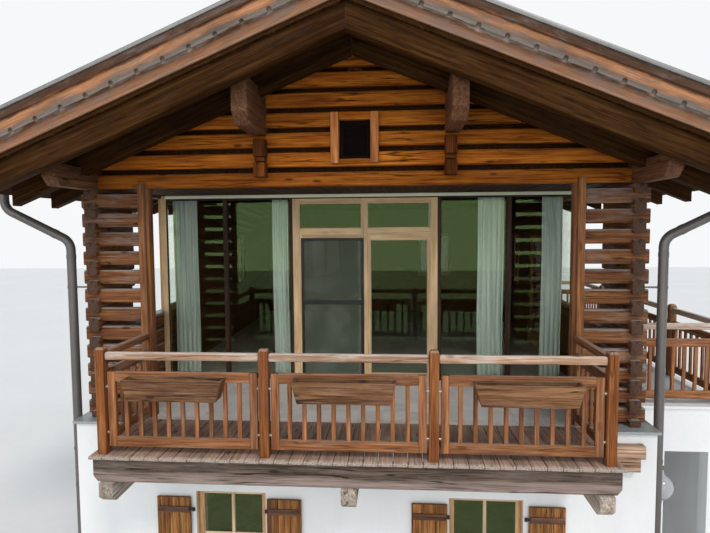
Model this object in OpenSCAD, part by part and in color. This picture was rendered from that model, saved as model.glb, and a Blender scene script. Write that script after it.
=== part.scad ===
// Alpine chalet: plastered ground floor, log upper floor with a loggia, balcony and low gable roof.
// Millimetres, +Z up. The front gable faces -Y. Origin: middle of the ground slab's underside.

/* [Ground floor] */
// Width of the masonry, outside
house_w = 6400; // [6200:20:7000]
// Depth of the masonry, outside
house_d = 8800; // [8400:50:11000]
// Thickness of the masonry walls
wall_t = 360; // [250:10:450]
// Height of the upper floor and balcony above the ground
floor_z = 2750; // [2700:10:3000]
// Thickness of the floor slab between the storeys
floor_t = 220; // [160:10:240]
// Thickness of the ground slab
ground_t = 150; // [100:10:250]
// Thickness of the wall coping, deck boards and floor finish
finish_t = 30; // [20:1:40]
// Overhang of the wall coping past the masonry
coping_over = 30; // [15:5:40]

/* [Windows and shutters] */
// Distance of a front window's middle from the masonry side
win_in = 1780; // [1700:10:1850]
// Width of a ground floor window
win_w = 800; // [780:10:860]
// Height of a ground floor window
win_h = 1210; // [1000:10:1250]
// Height of the window sill above the ground
sill_z = 750; // [650:10:800]
// Width of the window frame members
frame_w = 60; // [45:1:75]
// Depth of the window frame members
frame_t = 70; // [50:1:90]
// Distance that a frame stands back from the wall face
frame_back = 12; // [8:1:30]
// Depth of the boards that line a ground floor window's opening in front of its casements
reveal_d = 70; // [50:1:90]
// Thickness of the window panes
glass_t = 20; // [12:1:28]
// Width of a shutter
shutter_w = 390; // [370:5:400]
// Height of a shutter
shutter_h = 1140; // [950:10:1140]
// Thickness of the shutter boards
shutter_t = 25; // [20:1:28]
// Space between an open shutter and the wall
shutter_gap = 20; // [15:1:30]
// Thickness of the shutter battens
batten_t = 22; // [15:1:24]
// Height of a shutter batten
batten_h = 65; // [50:5:90]
// Distance from a shutter's end to its batten
batten_in = 105; // [90:5:160]
// Radius of the hinge pin
pin_r = 5; // [4:0.5:6]
// Running clearance of the hinge pin in its eye
pin_play = 0.05; // [0.02:0.01:0.1]

/* [Log walls] */
// Thickness of the log walls
log_t = 120; // [100:5:130]
// Height of one log
log_h = 157; // [140:1:165]
// Height of one course of logs
course_h = 217; // [214:1:219]
// Bevel along the edges of a log
log_bevel = 14; // [6:1:20]
// Distance of the log front from the masonry front
log_front = 178; // [160:1:200]
// Distance of the side logs' middle from the masonry side
log_in_by = 185; // [160:5:200]
// Thickness of the tongue that closes the joint between two logs
tongue_t = 50; // [30:1:60]
// Length of the log ends past the crossing wall
log_over = 70; // [55:5:128]
// Height of the ceiling above the upper floor
ceiling_h = 2655; // [2600:5:2670]
// Thickness of the ceiling boards
ceiling_t = 40; // [25:1:50]
// Thickness of the wall lining behind the logs
lining_t = 40; // [25:1:60]

/* [Loggia] */
// Distance of the glass wall from the masonry front
loggia_d = 1887; // [1700:10:2000]
// Distance of the jamb posts' faces from the masonry side
jamb_in = 845; // [820:5:880]
// Width of an inner jamb post
jamb_w = 30; // [25:1:45]
// Width of the board in front of a jamb
jamb_board_w = 77; // [65:1:90]
// Thickness of the board in front of a jamb
jamb_board_t = 48; // [30:1:60]
// Length of the log return beside the loggia
return_d = 1030; // [950:10:1200]
// Length of the side opening past the glass wall
side_light_d = 1130; // [900:10:1300]
// Number of log courses in the parapet under the side opening
parapet_courses = 4; // [3:1:5]
// Half of the width of the terrace door unit
door_x = 1025; // [980:5:1060]
// Height of the transom's underside in the door unit
transom_z = 2029; // [1980:5:2100]
// Depth of the glass wall's frame
glazing_t = 80; // [60:5:100]
// Width of the glass wall's posts
glazing_w = 78; // [60:2:90]

/* [Roof] */
// Pitch of the roof in degrees
roof_pitch = 22.3; // [21:0.1:23]
// Height of the eave purlin's top above the upper floor
plate_z = 2845; // [2820:1:2870]
// Depth of the rafters' notch over the eave purlins
eave_notch = 110; // [90:1:130]
// Depth of the rafters' notch over the middle purlins
mid_notch = 116; // [80:1:125]
// Height of a rafter, plumb
rafter_h = 243; // [230:1:260]
// Thickness of a rafter
rafter_t = 140; // [110:5:150]
// Number of rafter pairs
rafter_n = 16; // [14:1:18]
// Overhang of the end rafters past the masonry
roof_over = 837; // [780:1:860]
// Overhang of the eaves past the masonry
eave_over = 790; // [740:10:840]
// Distance of the rafter tails behind the eaves' edge
tail_in = 250; // [200:10:300]
// Thickness of the soffit boards, plumb
soffit_t = 27; // [20:1:35]
// Height from the soffit boards to the roof sheet, plumb
core_h = 376; // [340:2:400]
// Thickness of the roof sheet, plumb
sheet_t = 25; // [20:1:40]
// Thickness of one verge board
verge_t = 30; // [20:1:35]
// Distance between the notches along the verge board
notch_pitch = 268; // [240:2:300]
// Radius of a notch in the verge board
notch_r = 22; // [16:1:28]
// Distance of the middle purlins from the house axis
mid_purlin_x = 1061; // [1000:5:1120]
// Width of a middle purlin
mid_purlin_w = 158; // [140:2:180]
// Height of a middle purlin
mid_purlin_h = 462; // [400:2:470]
// Width of an eave purlin
eave_purlin_w = 144; // [130:2:160]
// Height of an eave purlin
eave_purlin_h = 225; // [200:5:245]
// Distance of the purlins' front ends from the masonry front
purlin_over = 613; // [580:1:660]

/* [Balcony] */
// Distance of the deck's ends from the masonry side
deck_end_in = 695; // [680:5:720]
// Distance of the deck's front edge from the masonry
deck_d = 985; // [950:5:1000]
// Distance of the corner posts' middles from the deck's ends
post_in = 115; // [100:5:130]
// Width of a post
post_w = 91; // [80:1:100]
// Height of a post
post_h = 1045; // [1000:5:1080]
// Distance of the posts' front from the masonry
post_d = 920; // [900:5:930]
// Height of the handrail's top
rail_z = 998; // [970:1:1000]
// Height of the handrail
rail_h = 77; // [60:1:90]
// Thickness of the handrail
rail_t = 64; // [50:1:70]
// Height of the panel's top
panel_z = 809; // [780:1:830]
// Height of the panel's underside
panel_low = 74; // [50:1:90]
// Height of the panel's rails
panel_rail_h = 98; // [80:1:110]
// Thickness of a panel
panel_t = 44; // [36:1:50]
// Width of the panel's end stiles
stile_w = 75; // [60:1:85]
// Width of a baluster
baluster_w = 40; // [30:1:46]
// Thickness of a baluster
baluster_t = 30; // [20:1:34]
// Distance between balusters
baluster_pitch = 138; // [125:1:150]
// Length of the spacers between a panel and its posts
spacer = 20; // [12:1:25]
// Height of the front beam
beam_h = 234; // [200:2:240]
// Width of a balcony bracket
bracket_w = 140; // [120:5:160]
// Height of a balcony bracket
bracket_h = 200; // [160:2:210]
// Distance of the brackets' front from the masonry
bracket_d = 968; // [950:1:985]

/* [Side gallery] */
// Distance of the gallery's front from the masonry front
gallery_y = 900; // [800:10:1000]
// Length of the gallery
gallery_d = 5600; // [5000:50:6000]
// Width of the gallery
gallery_w = 1280; // [1150:10:1400]
// Thickness of the gallery's front wall and piers
pier_t = 200; // [160:10:240]

/* [Rainwater] */
// Radius of a downpipe
pipe_r = 50; // [40:1:52]
// Distance of the downpipes behind the masonry front
pipe_y = 170; // [150:5:200]
// Radius of a gutter
gutter_r = 65; // [55:1:75]

/* [Hidden] */

front_y = -house_d / 2;
back_y = house_d / 2;
half_w = house_w / 2;
// Clearance between pieces that rest on each other on a slope or in one node
seat_gap = 0.3;
slab_top = floor_z - finish_t;
slab_low = slab_top - floor_t;
log_mid = half_w - log_in_by;
log_in = log_mid - log_t / 2;
log_out = log_mid + log_t / 2;
wall_y = front_y + log_front;
win_x = half_w - win_in;
jamb_x = half_w - jamb_in;
deck_x = half_w - deck_end_in;
post_x = deck_x - post_in;
eave_x = half_w + eave_over;
roof_tan = tan(roof_pitch);
rafter_apex = plate_z - eave_notch + log_mid * roof_tan;
roof_y = front_y - roof_over;
rafter_step = (house_d + 2 * roof_over - rafter_t) / (rafter_n - 1);
soffit_y = roof_y - 43;
core_low = rafter_h + soffit_t;
core_top = core_low + core_h;
mid_purlin_top = rafter_apex - mid_purlin_x * roof_tan + mid_notch;
lintel_course = 12;
glass_y = front_y + loggia_d;
ceiling_z = floor_z + ceiling_h;
parapet_z = floor_z + (parapet_courses + 0.5) * course_h;
sill_t = 30;
side_open_y0 = front_y + return_d;
side_open_y1 = glass_y + glazing_t + side_light_d;
shutter_pin_y = -(shutter_gap + shutter_t / 2 + 7.5);
shutter_z = sill_z + 15;
hinge_out = 5;
hinge_play = 15;
// The outer shutter of each pair hangs a little further from its window
outer_hinge_out = 28;
outer_hinge_play = 22;
gallery_x = half_w + gallery_w;
gallery_y0 = front_y + gallery_y;
gallery_y1 = gallery_y0 + gallery_d;
window_top = sill_z + win_h;
$fn = 32;

// Plumb height of the rafters' lower line at a distance from the axis
function line_z(x) = floor_z + rafter_apex - abs(x) * roof_tan;

// Box from its low corner to its high corner
module span(a, b) translate(a) cube([b[0] - a[0], b[1] - a[1], b[2] - a[2]]);

// Extrudes an X-Z outline from y0 to y1
module along_y(y0, y1) translate([0, y1, 0]) rotate([90, 0, 0]) linear_extrude(y1 - y0) children();

// Same shape on both sides of the house axis
module both_sides() {
    children();
    mirror([1, 0, 0]) children();
}

// Same shape at the back of the house
module also_back() {
    children();
    mirror([0, 1, 0]) children();
}

// Section of a squared log with bevelled edges
module log_section(w, h, c = log_bevel) polygon([[c, 0], [w - c, 0], [w, c], [w, h - c], [w - c, h],
    [c, h], [0, h - c], [0, c]]);

// Log along X, with its low front corner at y, z
module log_x(x0, x1, y, z, h = log_h) translate([x0, y, z]) rotate([90, 0, 90])
    linear_extrude(x1 - x0) log_section(log_t, h);

// Log along Y, with its low inner corner at x, z
module log_y(y0, y1, x, z, h = log_h) translate([x, y1, z]) rotate([90, 0, 0])
    linear_extrude(y1 - y0) log_section(log_t, h);

// Tongue along the middle of a log along X, from one height to another
module tongue_x(x0, x1, y, low, high) span([x0, y + (log_t - tongue_t) / 2, low],
    [x1, y + (log_t + tongue_t) / 2, high]);

// Tongue along the middle of a log along Y
module tongue_y(y0, y1, x, low, high) span([x + (log_t - tongue_t) / 2, y0, low],
    [x + (log_t + tongue_t) / 2, y1, high]);

// Outline of a strip of the roof slope between two plumb heights over the rafter line
module roof_strip(x0, x1, low, high) polygon([[x0, line_z(x0) + low], [x1, line_z(x1) + low],
    [x1, line_z(x1) + high], [x0, line_z(x0) + high]]);

// Outline of the gable under the soffit boards
module gable_outline(low) polygon([[-log_out, low], [log_out, low], [log_out, line_z(log_out) + rafter_h - seat_gap],
    [0, line_z(0) + rafter_h - seat_gap], [-log_out, line_z(log_out) + rafter_h - seat_gap]]);

// Ground floor masonry

module ground_slab() color("silver")
    span([wall_t - half_w, front_y + wall_t, 0], [half_w - wall_t, back_y - wall_t, ground_t]);

module window_hole(x) span([x - win_w / 2, -wall_t, sill_z], [x + win_w / 2, 2 * wall_t, window_top]);

module end_wall() difference() {
    span([-half_w, 0, 0], [half_w, wall_t, slab_low]);
    window_hole(-win_x);
    window_hole(win_x);
}

module front_wall() color("white") translate([0, front_y, 0]) end_wall();

module back_wall() color("white") translate([0, back_y - wall_t, 0]) end_wall();

// Side windows of the ground floor: distances from the middle of the house
side_win_y = [-1700, 1700];
entrance_y = 2300;
entrance_w = 1000;
entrance_h = 2050;

module side_wall() span([half_w - wall_t, front_y + wall_t, 0], [half_w, back_y - wall_t, slab_low]);

module left_wall() color("white") difference() {
    mirror([1, 0, 0]) side_wall();
    for (y = side_win_y)
        span([-half_w - 1, y - win_w / 2, sill_z], [wall_t - half_w + 1, y + win_w / 2, window_top]);
}

module right_wall() color("white") difference() {
    side_wall();
    span([half_w - wall_t - 1, side_win_y[0] - win_w / 2, sill_z],
        [half_w + 1, side_win_y[0] + win_w / 2, window_top]);
    span([half_w - wall_t - 1, entrance_y - entrance_w / 2, ground_t],
        [half_w + 1, entrance_y + entrance_w / 2, ground_t + entrance_h]);
}

module upper_floor() color("white") span([-half_w, front_y, slab_low], [half_w, back_y, slab_top]);

// Depth that the deck boards run in over the masonry
deck_in = 100;
coping_gap = 2;
log_back = wall_y + log_t;

module floor_finish() color("lightgray") {
    span([-log_in, log_back, slab_top], [log_in, -log_back, floor_z]);
    span([coping_gap - jamb_x, front_y + deck_in, slab_top], [jamb_x - coping_gap, log_back + 1, floor_z]);
}

module wall_coping() color("slategray") {
    both_sides() {
        difference() {
            span([jamb_x, front_y - coping_over, slab_top], [half_w + coping_over, back_y + coping_over, floor_z]);
            span([0, front_y - coping_over - 1, slab_top - 1], [deck_x + 10, front_y + deck_in + coping_gap, floor_z + 1]);
            span([0, log_back, slab_top - 1], [log_in + coping_gap, back_y + coping_over + 1, floor_z + 1]);
        }
        span([log_in - cap_over, side_open_y0, parapet_z - cap_t], [log_out + cap_over, glass_y, parapet_z]);
        span([log_in, glass_y, parapet_z - cap_t], [log_out + cap_over, side_open_y1, parapet_z]);
    }
    span([-log_in, -log_back, slab_top], [log_in, back_y + coping_over, floor_z]);
}

// Cap of the parapet under the side openings
cap_over = 15;
cap_t = 30;

// Window frame with two casements, standing on z = 0, with lining boards in front of them from y = 0 to r
module window_frame(w, h, r = 0) difference() {
    span([-w / 2, 0, 0], [w / 2, r + frame_t, h]);
    if (r > 0) span([reveal_t - w / 2, -1, reveal_t], [w / 2 - reveal_t, r, h - reveal_t]);
    for (s = [-1, 1]) translate([s * (pane_w(w) + win_bar) / 2, 0, 0])
        span([-pane_w(w) / 2, r - 1, frame_w], [pane_w(w) / 2, r + frame_t + 1, h - frame_w]);
}

win_bar = 30;
reveal_t = 14;

function pane_w(w) = (w - 2 * frame_w - win_bar) / 2;

module window_glass(w, h, r = 0) for (s = [-1, 1])
    translate([s * (pane_w(w) + win_bar) / 2, r + (frame_t - glass_t) / 2, 0])
        span([-pane_w(w) / 2, 0, frame_w], [pane_w(w) / 2, glass_t, h - frame_w]);

// Places a window of the ground floor in each of its holes
module at_ground_windows() {
    for (x = [-win_x, win_x]) {
        translate([x, front_y + frame_back, sill_z]) children();
        translate([x, back_y - frame_back, sill_z]) rotate([0, 0, 180]) children();
    }
    for (y = side_win_y) translate([-half_w + frame_back, y, sill_z]) rotate([0, 0, -90]) children();
    translate([half_w - frame_back, side_win_y[0], sill_z]) rotate([0, 0, 90]) children();
}

module ground_windows() color("burlywood") at_ground_windows() window_frame(win_w, win_h, reveal_d);

module window_sills() color("silver") at_ground_windows()
    span([-win_w / 2, -frame_back - 25, -sill_t], [win_w / 2, -frame_back, 0]);

// Shutters of the front windows

eye_r = pin_r + 4;
strap_h = 30;
strap_in = batten_in + (batten_h - strap_h) / 2;
hinge_z = [strap_in, shutter_h - strap_in - strap_h];
strap_t = 4;

// Shutter that hangs on a pin at the origin and lies open towards -X
module shutter_leaf(play = hinge_play) {
    leaf_y = -shutter_pin_y - shutter_gap - shutter_t;
    difference() {
        union() {
            span([-play - shutter_w, leaf_y, 0], [-play, leaf_y + shutter_t, shutter_h]);
            for (z = [batten_in, shutter_h - batten_in - batten_h])
                span([-play - shutter_w + 15, leaf_y - batten_t, z], [-play - 15, leaf_y, z + batten_h]);
            for (z = hinge_z) {
                translate([0, 0, z]) cylinder(r = eye_r, h = strap_h);
                span([-play - 150, -eye_r, z], [0, -eye_r + strap_t, z + strap_h]);
            }
        }
        for (z = hinge_z) translate([0, 0, z - 1]) cylinder(r = pin_r + pin_play, h = strap_h + 2);
    }
}

// Hinge pin on its wall plate
module pintle() for (z = hinge_z) translate([0, 0, z]) {
    translate([0, 0, -15]) cylinder(r = pin_r, h = strap_h + 18);
    span([-5, 0, -15], [5, -shutter_pin_y - strap_t, -3]);
    span([-14, -shutter_pin_y - strap_t, -30], [14, -shutter_pin_y, 12]);
}

// Distance of a shutter's pin from its window, by the window's place x and the shutter's side s
function pin_out(x, s) = x * s > 0 ? outer_hinge_out : hinge_out;

// Places a part at the pin of a shutter: window at x, side -1 left or 1 right
module at_pin(x, s) translate([x + s * (win_w / 2 + pin_out(x, s)), front_y + shutter_pin_y, shutter_z])
    mirror([s > 0 ? 1 : 0, 0, 0]) children();

module shutter_1() color("saddlebrown") at_pin(-win_x, -1) shutter_leaf(outer_hinge_play);

module shutter_2() color("saddlebrown") at_pin(-win_x, 1) shutter_leaf();

module shutter_3() color("saddlebrown") at_pin(win_x, -1) shutter_leaf();

module shutter_4() color("saddlebrown") at_pin(win_x, 1) shutter_leaf(outer_hinge_play);

module shutter_pintles() color("black") for (x = [-win_x, win_x], s = [-1, 1]) at_pin(x, s) pintle();

// Shutters of the other walls, fastened open
module fixed_shutter() {
    span([-shutter_w, -shutter_t - 2, 15], [0, -2, 15 + shutter_h]);
    for (z = [batten_in, shutter_h - batten_in - batten_h]) {
        span([15 - shutter_w, -shutter_t - batten_t - 2, z + 15], [-15, -shutter_t - 2, z + 15 + batten_h]);
        span([-shutter_w / 2 - 20, -2, z + 30], [20 - shutter_w / 2, 0, z + 60]);
    }
}

module side_shutters() color("saddlebrown") {
    for (x = [-win_x, win_x]) translate([x, back_y, sill_z]) rotate([0, 0, 180]) fixed_pair();
    for (y = side_win_y) translate([-half_w, y, sill_z]) rotate([0, 0, -90]) fixed_pair();
    translate([half_w, side_win_y[0], sill_z]) rotate([0, 0, 90]) fixed_pair();
}

module fixed_pair() both_sides() translate([-win_w / 2 - hinge_play, 0, 0]) fixed_shutter();

// Balcony

beam_t = 100;
beam_x = deck_x - 22;
beam_front = front_y - post_d - 13;
joist_h = 160;
bracket_xs = [45 - post_x, 0, post_x - 45];

bracket_nose_d = 75;
bracket_nose_h = 60;

// Timbers that carry the beam, with their noses cut off from below
module balcony_brackets() color("rosybrown") for (x = bracket_xs)
    translate([x - bracket_w / 2, front_y, slab_top - beam_h]) rotate([90, 0, 90]) linear_extrude(bracket_w)
        polygon([[0, 0], [-bracket_d, 0], [-bracket_d, bracket_nose_h - bracket_h],
            [bracket_nose_d - bracket_d, -bracket_h], [0, -bracket_h]]);

module balcony_frame() color("rosybrown") {
    balcony_beam();
    balcony_joists();
}

module balcony_beam() translate([0, beam_front + beam_t, 0]) rotate([90, 0, 0])
    linear_extrude(beam_t) polygon([[-beam_x + 45, slab_top - beam_h], [beam_x - 45, slab_top - beam_h],
        [beam_x, slab_top - beam_h + 55], [beam_x, slab_top], [-beam_x, slab_top],
        [-beam_x, slab_top - beam_h + 55]]);

module balcony_joists() for (x = [-2, -1, 0, 1, 2] * (beam_x - 50) / 2)
    span([x - 50, beam_front + beam_t + seat_gap, slab_top - joist_h], [x + 50, front_y, slab_top]);

module balcony_deck() color("peru")
    span([-deck_x, front_y - deck_d, slab_top], [deck_x, front_y + deck_in, floor_z]);

// Post with a bevelled head, standing on z = 0 with its middle on the Z axis
module post(h) intersection() {
    translate([0, post_w / 2, 0]) rotate([90, 0, 0]) linear_extrude(post_w) post_outline(h);
    translate([-post_w / 2, 0, 0]) rotate([90, 0, 90]) linear_extrude(post_w) post_outline(h);
}

module post_outline(h) polygon([[-post_w / 2, 0], [post_w / 2, 0], [post_w / 2, h - 22],
    [post_w / 2 - 18, h], [18 - post_w / 2, h], [-post_w / 2, h - 22]]);

post_y = front_y - post_d + post_w / 2;
bays = 3;
post_xs = [for (i = [0 : bays]) (2 * i / bays - 1) * post_x];

module balcony_posts() color("chocolate") for (x = post_xs) translate([x, post_y, floor_z]) post(post_h);

// Handrail along X with rounded upper edges, its middle on y = 0
module rail(length) rotate([90, 0, 90]) linear_extrude(length) polygon([[-rail_t / 2, rail_z - rail_h],
    [rail_t / 2, rail_z - rail_h], [rail_t / 2, rail_z - 14], [rail_t / 2 - 14, rail_z],
    [14 - rail_t / 2, rail_z], [-rail_t / 2, rail_z - 14]]);

// Railing panel along X from x = 0, its middle on y = 0
module panel(length) {
    inner = length - 2 * spacer;
    clear = inner - stile_w;
    n = max(1, round(clear / baluster_pitch));
    translate([spacer, 0, 0]) {
        for (x = [0, inner - stile_w])
            span([x, -panel_t / 2, panel_low], [x + stile_w, panel_t / 2, panel_z]);
        for (z = [panel_low, panel_z - panel_rail_h])
            span([0, -panel_t / 2, z], [inner, panel_t / 2, z + panel_rail_h]);
        for (i = [1 : n - 1]) translate([stile_w / 2 + i * clear / n, 0, 0])
            span([-baluster_w / 2, -baluster_t / 2, panel_low + 1], [baluster_w / 2, baluster_t / 2, panel_z - 1]);
    }
    for (z = [panel_low + 135, panel_z - 150], x = [0, length - spacer])
        translate([x, 0, z]) rotate([0, 90, 0]) cylinder(r = 10, h = spacer);
}

bay_x = [for (i = [0 : bays - 1]) post_xs[i] + post_w / 2];
bay_w = 2 * post_x / bays - post_w;
side_bay_y = post_y + post_w / 2;
side_bay_w = wall_y - jamb_board_t - side_bay_y;

module balcony_panels() color("chocolate") {
    for (x = bay_x) translate([x, post_y, floor_z]) panel(bay_w);
    both_sides() translate([post_x, side_bay_y, floor_z]) rotate([0, 0, 90]) panel(side_bay_w);
}

module balcony_handrail() color("rosybrown") {
    for (x = bay_x) translate([x, post_y, floor_z]) rail(bay_w);
    both_sides() translate([post_x, side_bay_y, floor_z]) rotate([0, 0, 90]) rail(side_bay_w);
}

box_w = 956;
box_base_w = 844;
box_d = 180;
box_h = 198;
box_top = 775;
box_wall = 25;
// Distance of each box's middle from the middle of its bay
box_shift = [-37, -30, 31];

// Flower boxes that hang in front of the panels, narrower at the bottom
module flower_boxes() color("saddlebrown") for (i = [0 : bays - 1])
    translate([bay_x[i] + bay_w / 2 + box_shift[i], post_y - panel_t / 2, floor_z + box_top - box_h])
        rotate([90, 0, 0]) difference() {
            linear_extrude(box_d) box_outline(0, box_h);
            translate([0, 0, box_wall]) linear_extrude(box_d - 2 * box_wall) box_outline(box_wall, box_h + 1);
        }

module box_outline(t, top) polygon([[t - box_base_w / 2, t], [box_base_w / 2 - t, t],
    [box_w / 2 - t, top], [t - box_w / 2, top]]);

// Log walls

log_end = log_out + log_over;
side_courses = 11;

purlin_front = front_y - purlin_over;
eave_purlin_low = floor_z + plate_z - eave_purlin_h;
mid_purlin_low = floor_z + mid_purlin_top - mid_purlin_h;

module eave_purlin_body() span([log_mid - eave_purlin_w / 2, purlin_front, eave_purlin_low],
    [log_mid + eave_purlin_w / 2, -purlin_front, floor_z + plate_z]);

module mid_purlin_body() span([mid_purlin_x - mid_purlin_w / 2, purlin_front, mid_purlin_low],
    [mid_purlin_x + mid_purlin_w / 2, -purlin_front, floor_z + mid_purlin_top]);

ridge_purlin_w = 160;
ridge_purlin_h = 260;
ridge_purlin_top = rafter_apex + 60;

module ridge_purlin_body() span([-ridge_purlin_w / 2, log_back, floor_z + ridge_purlin_top - ridge_purlin_h],
    [ridge_purlin_w / 2, -log_back, floor_z + ridge_purlin_top]);

// Height of a log's tongue end, just under the next log
function tongue_top(z) = z + course_h - 0.5;

function front_z(k) = floor_z + (k + 0.5) * course_h - log_h / 2;

function side_z(k) = floor_z + k * course_h - log_h / 2;

// Logs beside the loggia, with open gaps between them
module front_corner_logs() color("peru") both_sides() difference() {
    for (k = [0 : side_courses]) log_x(jamb_x + jamb_w, log_end, wall_y, front_z(k));
    eave_purlin_body();
}

module back_course(k) {
    log_x(-log_end, log_end, -wall_y - log_t, front_z(k));
    if (k < lintel_course)
        tongue_x(-log_in, log_in, -wall_y - log_t, k == 0 ? floor_z : front_z(k) + 1, tongue_top(front_z(k)));
}

// Log along the right side wall; the lowest one is a half log
module side_course(k, y0, y1) {
    if (k == 0) log_y(y0, y1, log_in, floor_z, log_h / 2);
    else if (k > side_courses) log_y(y0, y1, log_in, side_z(k), eave_purlin_low - side_z(k));
    else log_y(y0, y1, log_in, side_z(k));
    if (k <= side_courses) tongue_y(max(y0, log_back), min(y1, -log_back), log_in, side_z(k) + log_h - 1,
        tongue_top(side_z(k)));
}

module side_logs() difference() {
    for (k = [0 : side_courses + 1])
        if (k < parapet_courses) side_course(k, wall_y - log_over, log_over - wall_y);
        else if (k == parapet_courses) {
            log_y(wall_y - log_over, log_over - wall_y, log_in, side_z(k));
            tongue_y(log_back, side_open_y0, log_in, side_z(k) + log_h - 1, tongue_top(side_z(k)));
            tongue_y(side_open_y1, -log_back, log_in, side_z(k) + log_h - 1, tongue_top(side_z(k)));
        }
        else {
            side_course(k, wall_y - log_over, side_open_y0);
            side_course(k, side_open_y1, log_over - wall_y);
        }
    for (k = [0 : side_courses]) {
        log_x(0, log_end, wall_y, front_z(k));
        log_x(0, log_end, -wall_y - log_t, front_z(k));
    }
    side_window_hole();
}

upper_win_y = 1500;
upper_win_w = 820;
upper_win_h = 1085;
upper_sill = floor_z + 4 * course_h + log_h / 2;
upper_top = upper_sill + upper_win_h;
gallery_door_w = 900;

module side_window_hole() span([log_in - lining_t - 1, upper_win_y - upper_win_w / 2, upper_sill],
    [log_out + 1, upper_win_y + upper_win_w / 2, upper_top]);

module gallery_door_hole() span([log_in - lining_t - 1, gallery_door_y, floor_z],
    [log_out + 1, gallery_door_y + gallery_door_w, upper_top]);

module left_logs() color("peru") mirror([1, 0, 0]) side_logs();

module right_logs() color("peru") difference() {
    side_logs();
    gallery_door_hole();
}

module back_window_holes() for (x = [-win_x, win_x])
    span([x - upper_win_w / 2, -wall_y - log_t - lining_t - 1, upper_sill],
        [x + upper_win_w / 2, 1 - wall_y, upper_top]);

module back_logs() color("peru") difference() {
    for (k = [0 : lintel_course]) back_course(k);
    both_sides() eave_purlin_body();
    back_window_holes();
}

gable_win_w = 524;
gable_win_low = 2880;
gable_win_high = 3430;
gable_post_w = 88;
gable_sill_h = 48;
gable_head_h = 78;

module gable_window_hole() span([-gable_win_w / 2, wall_y - 1, floor_z + gable_win_low],
    [gable_win_w / 2, wall_y + log_t + lining_t + 1, floor_z + gable_win_high]);

gable_courses = floor((rafter_apex + rafter_h) / course_h);

module gable_logs() color("peru") also_back() difference() {
    intersection() {
        for (k = [lintel_course + 1 : gable_courses]) log_x(-log_out, log_out, wall_y, front_z(k));
        along_y(wall_y, wall_y + log_t) gable_outline(floor_z);
    }
    both_sides() {
        mid_purlin_body();
        eave_purlin_body();
    }
    gable_window_hole();
}

lintel_low = floor_z + (lintel_course + 0.5) * course_h - log_h / 2;

module lintel_beam() color("peru") difference() {
    log_x(-log_out, log_out, wall_y, lintel_low);
    both_sides() eave_purlin_body();
}

module wall_lining() color("saddlebrown") {
    mirror([1, 0, 0]) side_lining();
    difference() {
        side_lining();
        gallery_door_hole();
    }
    difference() {
        span([-log_in, -log_back - lining_t, floor_z], [log_in, -log_back, ceiling_z]);
        back_window_holes();
        both_sides() eave_purlin_body();
    }
}

module side_lining() difference() {
    span([log_in - lining_t, glass_y + glazing_t, floor_z],
        [log_in, -wall_y - log_t - lining_t - coping_gap, ceiling_z]);
    span([log_in - lining_t - 1, glass_y, parapet_z], [log_in + 1, side_open_y1, ceiling_z + 1]);
    side_window_hole();
    eave_purlin_body();
}

module gable_lining() color("saddlebrown") also_back() difference() {
    intersection() {
        span([-log_in, log_back, ceiling_z + ceiling_t], [log_in, log_back + lining_t, floor_z + rafter_apex + rafter_h]);
        along_y(wall_y, wall_y + 2 * log_t) gable_outline(floor_z);
    }
    both_sides() {
        mid_purlin_body();
        eave_purlin_body();
    }
    ridge_purlin_body();
    gable_window_hole();
}

// Loggia

module jamb_posts() color("chocolate") both_sides() {
    span([jamb_x, wall_y, floor_z], [jamb_x + jamb_w, wall_y + log_t, lintel_low]);
    span([jamb_x + jamb_w, wall_y - jamb_board_t, floor_z],
        [jamb_x + jamb_w + jamb_board_w, wall_y, lintel_low + 55]);
}

module loggia_ceiling() color("saddlebrown") difference() {
    span([-log_in, log_back, ceiling_z], [log_in, -log_back, ceiling_z + ceiling_t]);
    both_sides() eave_purlin_body();
}

gable_casement_t = 45;
gable_casement_y = wall_y + 60;
gable_light_x = gable_win_w / 2 - gable_post_w;
gable_light_low = floor_z + gable_win_low + gable_sill_h;
gable_light_high = floor_z + gable_win_high - gable_head_h;

module gable_windows() color("sienna") also_back() {
    difference() {
        span([-gable_win_w / 2, wall_y - jamb_board_t, floor_z + gable_win_low],
            [gable_win_w / 2, log_back + lining_t, floor_z + gable_win_high]);
        span([-gable_light_x, wall_y - jamb_board_t - 1, gable_light_low],
            [gable_light_x, log_back + lining_t + 1, gable_light_high]);
    }
    difference() {
        span([-gable_light_x, gable_casement_y, gable_light_low],
            [gable_light_x, gable_casement_y + gable_casement_t, gable_light_high]);
        span([45 - gable_light_x, gable_casement_y - 1, gable_light_low + 45],
            [gable_light_x - 45, gable_casement_y + gable_casement_t + 1, gable_light_high - 45]);
    }
}

module gable_glass() also_back() span([45 - gable_light_x, gable_casement_y + 15, gable_light_low + 45],
    [gable_light_x - 45, gable_casement_y + 15 + glass_t, gable_light_high - 45]);

// Ends of the inner log wall under the middle purlins: drop of each block's faces below the purlin
stub_drops = [[455, 300], [235, 45]];
stub_zs = [for (block = stub_drops) [for (d = block) mid_purlin_top - mid_purlin_h - d]];
stub_w = 126;
stub_x = mid_purlin_x - 26;
stub_over = 150;

module purlin_stubs() color("peru") also_back() both_sides() {
    for (z = stub_zs) span([stub_x - stub_w / 2, wall_y - stub_over, floor_z + z[0]],
        [stub_x + stub_w / 2, wall_y, floor_z + z[1]]);
    span([stub_x - stub_w / 2 + 6, wall_y - stub_over + 30, floor_z + stub_zs[0][1] + 12],
        [stub_x + stub_w / 2 - 6, wall_y, floor_z + stub_zs[1][0] - 6]);
}

// Slope under the head of a purlin
module purlin_cut(x, w, z, rise) translate([x, purlin_front, z]) rotate([45, 0, 0])
    cube([2 * w, rise * sqrt(2), rise * sqrt(2)], center = true);

mid_cut = 120;
eave_cut = 88;

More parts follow.
